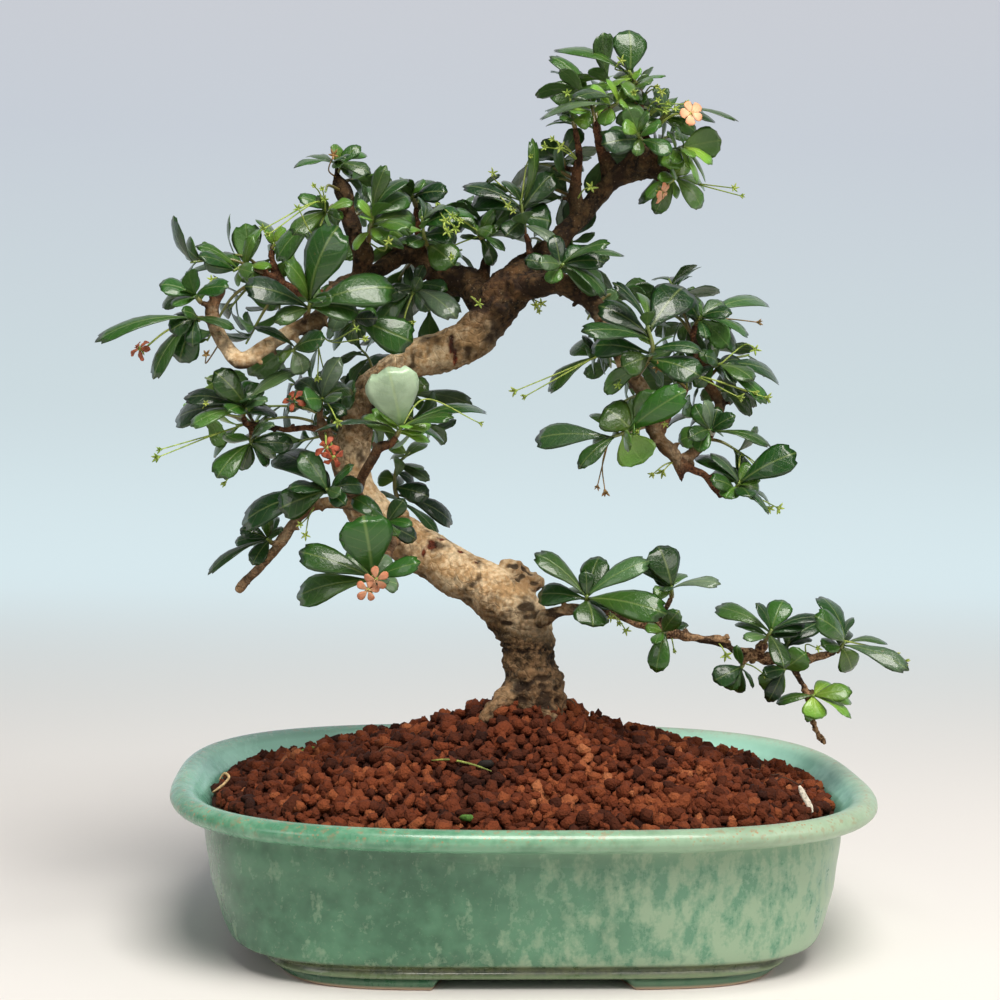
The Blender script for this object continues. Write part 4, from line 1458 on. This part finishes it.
leafy_shoots()


# Buds and spent calyces: stars of five narrow green sepals on stalks as thin as thread. Each list
# holds where its stalk leaves the foliage, then the stars it carries. The stalk is a tube along a
# curve from the nearest wood or shoot; a sepal is a short tube that swells and ends in a point.
BUD_STALKS = [
    [(-121, -14, 201), (-145, -22, 191), (-144, -22, 194)],
    [(-84, -8, 292), (-103, -22, 278), (-105, -22, 280)], [(-86, -10, 279), (-92, -20, 288)],
    [(-81, 0, 305), (-79, -10, 310)],
    [(-85, -6, 291), (-86, -18, 297), (-83, -18, 296), (-82, -18, 292)],
    [(-60, -4, 274), (-57, -20, 276)],
    [(-37, 0, 293), (-35, -16, 285), (-32, -16, 287), (-29, -16, 285), (-31, -16, 282), (-34, -16, 281)],
    [(-30, 2, 277), (-32, -14, 271)], [(-12, 4, 298), (-10, -10, 292), (-8, -10, 290)],
    [(-14, 4, 303), (-16, -8, 305)], [(-50, -4, 248), (-47, -20, 245)],
    [(0, 0, 257), (2, -8, 253), (4, -8, 254), (3, -8, 251)], [(-2, 4, 309), (-1, -4, 312)],
    [(16, 2, 312), (5, -4, 316), (8, -4, 319), (11, -4, 316)], [(33, 0, 348), (34, -8, 350)],
    [(45, 0, 338), (48, -10, 340), (50, -10, 338)], [(40, 0, 337), (39, -12, 337)],
    [(15, 2, 336), (13, -6, 337)], [(64, 0, 304), (80, -10, 301), (83, -10, 298)],
    [(47, 0, 328), (48, -14, 334), (52, -14, 333), (55, -14, 331), (51, -14, 330), (59, -14, 333)],
    [(22, 2, 296), (23, -8, 300)], [(-125, -6, 259), (-125, -20, 260)],
    [(-128, -8, 228), (-127, -20, 231)], [(-84, -10, 235), (-84, -16, 223), (-80, -16, 220)],
    [(-81, -12, 238), (-69, -24, 242), (-66, -24, 238)], [(-128, -10, 209), (-127, -20, 212)],
    [(-109, -8, 196), (-120, -12, 181)], [(-87, -6, 168), (-90, -16, 165), (-88, -16, 161)],
    [(24, -14, 232), (-6, -16, 219), (-2, -16, 217)], [(36, -14, 226), (34, -22, 222)],
    [(52, -16, 212), (53, -20, 207)], [(29, -16, 190), (27, -18, 182), (30, -18, 180)],
    [(49, -14, 232), (49, -24, 229)], [(46, -14, 206), (42, -22, 204)],
    [(56, -14, 190), (49, -18, 187), (53, -18, 188)], [(82, -8, 249), (91, -10, 248)],
    [(86, -10, 239), (89, -16, 237)], [(64, -14, 226), (83, -16, 218), (89, -16, 220), (94, -16, 218)],
    [(85, -14, 195), (91, -18, 190), (94, -18, 189)], [(89, -14, 179), (96, -16, 174), (100, -16, 174)],
    [(34, -12, 133), (33, -22, 130), (39, -22, 125), (36, -22, 128)], [(56, -12, 120), (59, -18, 117)],
    [(77, -12, 117), (80, -18, 115)], [(90, -12, 110), (96, -16, 107)],
    [(114, -10, 118), (117, -18, 118)], [(143, -9, 117), (150, -12, 115), (154, -12, 112)],
    [(-23, -2, 256), (-21, -14, 253)], [(-42, -14, 215), (-20, -14, 206)],
    [(-83, -18, 213), (-76, -22, 206)]]
STEM_DIAMETER, STALK_RADII, SHORT_STALK = 2.0, [0.36, 0.24], 5
stems_as_limbs = [np.insert(stem, 3, STEM_DIAMETER, axis=1) for stem in stems.values()]
stem_pieces = np.vstack([np.hstack([stem[:-1], stem[1:]]) for stem in stems_as_limbs])
GROWN_PIECES = np.vstack([bark_pieces, stem_pieces])


def nearest_wood(place):
    """The middle of the wood or shoot nearest to a place."""
    distance, part = bark_distance(GROWN_PIECES, place[None])
    k = int(np.argmin(distance[0]))
    return GROWN_PIECES[k, :3] + (GROWN_PIECES[k, 4:7] - GROWN_PIECES[k, :3]) * part[0, k]


FIFTH_OF_TURN = 1.2566


def star(head, way, size, draw):
    """A small swollen base and five sepals that spread from it and curl back."""
    first = unit(np.cross(way, draw.normal(size=3)))
    second = np.cross(way, first)
    middle = head + way * size * np.array([-0.25, 0.0, 0.25])[:, None]
    parts = [tube(middle, size * np.array([0.1, 0.22, 0.1]), 6)]
    spread_out = draw.uniform(0.35, 1.0)
    for k in range(5):
        turn = k * FIFTH_OF_TURN + draw.uniform(-0.2, 0.2)
        out = math.cos(turn) * first + math.sin(turn) * second
        reach = np.linspace(0.05, 1, 4)[:, None] * size * draw.uniform(0.8, 1.1)
        line = head + out * reach * math.sin(spread_out) + way * reach * math.cos(spread_out)
        line = line - way * reach ** 2 * 0.06
        parts.append(tube(line, size * np.array([0.09, 0.15, 0.12, 0.03]), 5))
    return parts


def bud_material():
    bud = Finish("bud_green", 0.5, specular=0.4)
    green = bud.mottle(260.0, 0.6, ink(118, 150, 52), ink(176, 196, 92))
    brown = bud.mottle(300.0, 0.6, ink(96, 60, 40), ink(150, 96, 66))
    bud.feed("Base Color", bud.blend(bud.mark("dry"), green, brown))
    bud.bump(bud.noise(1500.0), 0.4, 0.0002)
    return bud.material


def buds():
    draw = np.random.default_rng(81)
    parts, dryness = [], []
    for leaves, *heads in BUD_STALKS:
        leaves = spread([leaves])[0]
        root = nearest_wood(leaves)
        dry = 0.85 if draw.random() < 0.12 else draw.uniform(0, 0.25)
        for head in heads:
            head = spread([head])[0]
            rise = np.array([0, 0, 0.1 * np.linalg.norm(head - leaves)])
            far = np.linalg.norm(leaves - root) > SHORT_STALK
            line = curve_through([root, leaves if far else (root + head) / 2 + rise, head], 1.6)
            grown = [tube(line, np.interp(np.linspace(0, 1, len(line)), [0, 1], STALK_RADII), 5)]
            way = unit(unit(line[-1] - line[-2]) + [0, -0.4, 0.1])
            grown += star(head, way, draw.uniform(2.3, 3.6), draw)
            parts += grown
            dryness.append(np.full(sum(len(part[0]) for part in grown), dry))
    points, quads, caps = gathered(parts)
    body("buds_and_calyces", points, [quads, caps], bud_material(),
         marks={"dry": np.concatenate(dryness)})


buds()


# The flowers: five blunt petals, a pale throat with stamens and a green calyx, on thin stalks that
# leave the shoots. Fresh ones are peach, old ones rust-red and curled. A petal is shaped like a leaf
# blade, with its own length, and the stalk is a tube along a shallow arc.
PETAL_LENGTH, PETALS = 4.9, 5
STAMEN_LINE, STAMEN_RADII, STAMEN_SIDES = [0.1, 1.0, 1.6, 2.1], [0.1, 0.1, 0.26, 0.16], 5
BLOOM_AGE = {"flower_far_left": 0.9, "flower_left": 0.95, "flowers_low": 0.6, "flower_crown": 0.08}
# Where a lone flower is, which way it faces, and its age.
SPENT_FLOWERS = [((-80, -26, 196), (-0.2, -0.9, 0.3), 1.0), ((-77, -26, 192), (0.4, -0.8, -0.4), 1.0),
                 ((52, -6, 299), (0.8, -0.5, -0.4), 0.35)]


def petal_material():
    petal = Finish("petal", 0.55, specular=0.35)
    fresh = petal.blend(petal.mark("along"), ink(250, 214, 170), ink(238, 160, 118))
    rust = petal.mottle(420.0, 0.6, ink(118, 48, 30), ink(178, 86, 56))
    green = petal.mottle(300.0, 0.6, ink(120, 146, 62), ink(176, 186, 96))
    tone = petal.blend(petal.mark("green"), petal.blend(petal.mark("aged"), fresh, rust), green)
    petal.feed("Base Color", tone)
    petal.bump(petal.noise(1400.0), 0.4, 0.00025)
    return petal.material


def flower_head(head, facing, aged, draw):
    """Petals first, as blades all at once, then sepals, throat and stamens as small tubes. Gives the
    petals' points and faces, and the tubes."""
    facing = unit(np.array(facing, float))
    first = unit(np.cross([0.0, 0.0, 1.0], facing))
    second = np.cross(facing, first)
    angles = head[0] + np.arange(PETALS) * 2 * np.pi / PETALS
    back = 0.15 - 0.9 * aged * draw.random(PETALS)
    out = np.cos(angles)[:, None] * first + np.sin(angles)[:, None] * second
    axis = out * np.cos(back)[:, None] + facing * np.sin(back)[:, None]
    normal = facing * np.cos(back)[:, None] - out * np.sin(back)[:, None]
    length = PETAL_LENGTH * draw.uniform(0.9, 1.05, PETALS)
    frames = (head + out * 0.3, axis, normal, np.cross(normal, axis), length, length * (0.8 - 0.36 * aged))
    points, faces, marks = blade_bodies(frames, 90)
    tubes = [tube(head + facing * np.array([-2.2, -1.0, 0.1])[:, None], np.array([0.5, 0.75, 0.9]), 8)]
    for k in range(PETALS):
        away = unit(out[k] * 0.9 - facing * 0.3 + 0.3 * draw.normal(size=3))
        sepal = head - facing * 1.4 + away * np.array([0.2, 1.2, 2.4])[:, None]
        tubes.append(tube(sepal, np.array([0.3, 0.45, 0.08]), 5))
    for k in range(PETALS):
        lean = unit(facing + 0.35 * out[k])
        stamen = head + lean * np.array(STAMEN_LINE)[:, None]
        tubes.append(tube(stamen, np.array(STAMEN_RADII), STAMEN_SIDES))
    return points, faces, marks["along"], tubes


def bloom(name, heads, facing, foot, aged, nodes, seed):
    """One piece from all the flowers that share a stalk's foot, each on a stalk with a shallow arc."""
    draw = np.random.default_rng(seed)
    points, quads, tris, along, green = [], [], [], [], []
    start = 0
    for head in heads:
        petals, faces, petal_along, tubes = flower_head(head, facing, aged, draw)
        facing = unit(np.array(facing, float) + 0.3 * draw.normal(size=3))
        bow = (foot + head) / 2 + [0, 0, 0.08 * np.linalg.norm(head - foot)]
        stalk = curve_through([foot, bow, head - facing * 1.6], 1.2)
        tubes = [tube(stalk, np.linspace(0.5, 0.36, len(stalk)), 6)] + tubes
        lone, tube_quads, caps = gathered(tubes)
        each = petals.shape[1]
        petal_quads = (faces[None] + (np.arange(PETALS) * each)[:, None, None]).reshape(-1, 4)
        quads += [petal_quads + start, tube_quads + start + PETALS * each]
        tris.append(caps + start + PETALS * each)
        points += [petals.reshape(-1, 3), lone]
        along += [petal_along.ravel(), np.zeros(len(lone))]
        stamens = PETALS * (len(STAMEN_LINE) * STAMEN_SIDES + 2)
        green += [np.zeros(PETALS * each), np.append(np.ones(len(lone) - stamens), np.zeros(stamens))]
        start += PETALS * each + len(lone)
    marks = {"along": np.concatenate(along), "green": np.concatenate(green), "aged": np.full(start, aged)}
    body(name, np.vstack(points), [np.vstack(quads), np.vstack(tris)], petal, nodes=nodes,
         marks=marks)


petal = petal_material()
for k, (name, (heads, facing, _, foot)) in enumerate(BLOOMS.items()):
    bloom(name + "_petals", heads[:, :3], facing, foot, BLOOM_AGE[name], [name], 91 + k)
for k, (head, facing, aged) in enumerate(SPENT_FLOWERS):
    head = spread([head])[0]
    bloom(f"spent_flower_{k + 1}", [head], facing, nearest_wood(head), aged, [], 101 + k)


# Litter on the granules: a yellow-green leaf stalk, green scraps, a dry curl, a pale flake, a curled
# dry stem beside the trunk, a dark chip of bark and fine roots at the right. Each is a thin tube
# along a curve, laid on the mound; the flake and the scraps are tubes pressed flat.
LITTER_LIFT, LITTER_SIDES = 2.6, 8
# Each has its name, its line [x, y, height over the mound], radius, colour and depth for its width.
LITTER = [
    ("fallen_stalk", [(-38, -40, 0), (-31, -43, 1.2), (-23, -46, 0.8), (-15, -50, 0)],
     0.45, (156, 168, 84), 1.0),
    ("green_scrap_left", [(-92, 13, 0.4), (-88, 15, 1.4), (-84, 18, 0.6)], 0.9, (128, 158, 72), 0.4),
    ("green_scrap_front", [(-28, -81, 0.2), (-25, -83, 1.4), (-23, -82, 0.4)], 1.3, (96, 140, 60), 0.35),
    ("dry_curl", [(-123, -24, 0), (-119, -22, 1.5), (-117, -19, 3.5), (-119, -17, 5), (-121, -18, 3)],
     0.55, (214, 180, 130), 0.7),
    ("pale_flake", [(107.5, -57, -0.5), (106.4, -56, 2), (104.6, -55, 4.6), (103, -54, 7.6)],
     1.25, (236, 224, 206), 0.25),
    ("dry_stem", [(15, -14, -1.5), (15.4, -14, 4), (17, -14, 7), (19.4, -14, 6.6), (20.4, -14, 5)],
     0.32, (96, 72, 50), 1.0),
    ("bark_chip", [(-20, -46, 0.2), (-17, -47, 1.2), (-14, -46, 0.6)], 1.6, (38, 30, 24), 0.5),
    ("fine_root_1", [(86, -22, 0), (93, -19, 1.5), (99, -20, 0.8), (104, -14, 1.4)],
     0.26, (74, 50, 34), 1.0),
    ("fine_root_2", [(98, -30, 0), (103, -26, 2.2), (109, -27, 1.2), (112, -22, 2.6)],
     0.24, (82, 56, 38), 1.0),
    ("fine_root_3", [(-60, -30, 0), (-56, -26, 2.4), (-50, -27, 0.6)], 0.24, (92, 64, 42), 1.0)]


def litter_material(name, shade):
    scrap = Finish(name, 0.7, specular=0.3)
    darker = ink(*[0.72 * value for value in shade])
    scrap.feed("Base Color", scrap.mottle(240.0, 0.8, darker, ink(*shade)))
    scrap.bump(scrap.noise(1300.0, 3.0), 0.5, 0.0003)
    return scrap.material


for name, line, radius, shade, flat in LITTER:
    line = np.array(line, float)
    height, _ = mound(line[:, 0], line[:, 1])
    line[:, 2] += height + LITTER_LIFT
    line = curve_through(line, 0.7)
    radii = radius * np.interp(np.linspace(0, 1, len(line)), [0, 0.2, 0.8, 1], [0.5, 1, 1, 0.4])
    points, quads, caps = tube(line, radii, LITTER_SIDES)
    middle = np.repeat(line[:, 1], LITTER_SIDES)
    points[:len(middle), 1] = middle + (points[:len(middle), 1] - middle) * flat
    body(name, points, [quads, caps], litter_material(name, shade))


# The studio: a pale floor and wall in one sweep, a broad soft light overhead, a second from the left
# front and a weaker fill from the right. The camera stands where the photographer's did.
def sweep():
    """A floor that curves up into a wall behind the tree: a quarter circle between two flats."""
    turn = np.linspace(0, np.pi / 2, 24)
    depth = np.concatenate([[-3.0], 1.2 + 1.0 * np.sin(turn), [2.2]])
    height = np.concatenate([[0.0], 1.0 - 1.0 * np.cos(turn), [4.0]])
    across = np.array([-5.0, 5.0])
    points = np.stack(np.broadcast_arrays(across, depth[:, None], height[:, None]), axis=2)
    return points.reshape(-1, 3), grid_faces(len(depth), 2, False)


# The paper is lit like any other near the tree. Further back it glows evenly by itself, so that the
# wall keeps its pale blue-grey whatever the lamps do.
paper = Finish("studio_paper", 0.85, specular=0.2)
away = paper.between(paper.y, 0.1, 1.4, kind="SMOOTHSTEP")
tone = paper.blend(away, ink(226, 222, 218), ink(214, 231, 236))
tone = paper.blend(paper.between(paper.z, 0.0, 0.22, kind="SMOOTHSTEP"), tone, ink(205, 219, 224))
tone = paper.blend(paper.between(paper.z, 0.22, 0.6), tone, ink(200, 207, 216))
tone = paper.blend(paper.between(paper.z, 0.6, 0.9), tone, ink(203, 205, 212))
dimmer = paper.blend(away, (1.0, 1.0, 1.0, 1.0), (0.22, 0.22, 0.22, 1.0))
paper.feed("Base Color", paper.blend(1.0, tone, dimmer, "MULTIPLY"))
paper.feed("Emission Color", tone)
paper.feed("Emission Strength", paper.times(away, 0.86))
points, quads = sweep()
mesh = bpy.data.meshes.new("studio_sweep")
mesh.from_pydata(points.tolist(), [], quads.tolist())
mesh.shade_smooth()
mesh.materials.append(paper.material)
floor = bpy.data.objects.new("studio_sweep", mesh)
bpy.context.scene.collection.objects.link(floor)


def softbox(name, place, aim, width, power, tint):
    """A square area light that faces a point on the tree."""
    light = bpy.data.lights.new(name, "AREA")
    light.shape, light.size = "SQUARE", width
    light.energy, light.color = power, tint
    lamp = bpy.data.objects.new(name, light)
    lamp.location = place
    away = np.array(place) - np.array(aim)
    tilt, turn = math.atan2(math.hypot(away[0], away[1]), away[2]), math.atan2(away[0], -away[1])
    lamp.rotation_euler = (tilt, 0, turn)
    bpy.context.scene.collection.objects.link(lamp)


softbox("light_above", (0.22, -0.75, 1.55), (0, 0, 0.2), 0.9, 34.0, (1.0, 0.97, 0.92))
softbox("light_left_front", (-1.3, -1.1, 0.9), (0, 0, 0.15), 0.7, 4.0, (1.0, 0.98, 0.96))
softbox("light_right_fill", (1.4, -0.9, 0.9), (0, 0, 0.15), 0.9, 9.0, (1.0, 0.96, 0.91))
world = bpy.data.worlds.new("pale_room")
world.use_nodes = True
world.node_tree.nodes["Background"].inputs[0].default_value = ink(226, 232, 240)
world.node_tree.nodes["Background"].inputs[1].default_value = 0.14
bpy.context.scene.world = world
bpy.context.scene.view_settings.view_transform = "Standard"

# The camera: 750 mm in front, a little left of the pot's middle and turned right, 222 mm up, looking
# down 3.6 degrees and leaning 1 degree. Its focal length is 1856 pixels of a 1000 pixel wide frame.
DISTANCE, EYE_HEIGHT, SIDE_STEP = 0.750, 0.222, -0.0105
DOWN, TO_RIGHT, LEAN = 0.063, 0.061, 0.0172
SENSOR_WIDTH, FOCAL_PIXELS, FRAME_PIXELS = 36.0, 1856, 1000
ahead = np.array([math.sin(TO_RIGHT) * math.cos(DOWN), math.cos(TO_RIGHT) * math.cos(DOWN),
                  -math.sin(DOWN)])
right = np.array([math.cos(TO_RIGHT), -math.sin(TO_RIGHT), 0.0])
up = np.cross(right, ahead)
camera_right = math.cos(LEAN) * right + math.sin(LEAN) * up
camera_up = math.cos(LEAN) * up - math.sin(LEAN) * right
eye = np.array([SIDE_STEP - DISTANCE * math.sin(TO_RIGHT), -DISTANCE * math.cos(TO_RIGHT), EYE_HEIGHT])
eye = eye + POT_MIDDLE / 1000
stand = np.eye(4)
stand[:3, 0], stand[:3, 1], stand[:3, 2], stand[:3, 3] = camera_right, camera_up, -ahead, eye
lens = bpy.data.cameras.new("camera")
lens.sensor_width = SENSOR_WIDTH
lens.lens = SENSOR_WIDTH * FOCAL_PIXELS / FRAME_PIXELS
lens.clip_start, lens.clip_end = 0.05, 50.0
camera = bpy.data.objects.new("camera", lens)
camera.matrix_world = Matrix(stand.tolist())
bpy.context.scene.collection.objects.link(camera)
bpy.context.scene.camera = camera
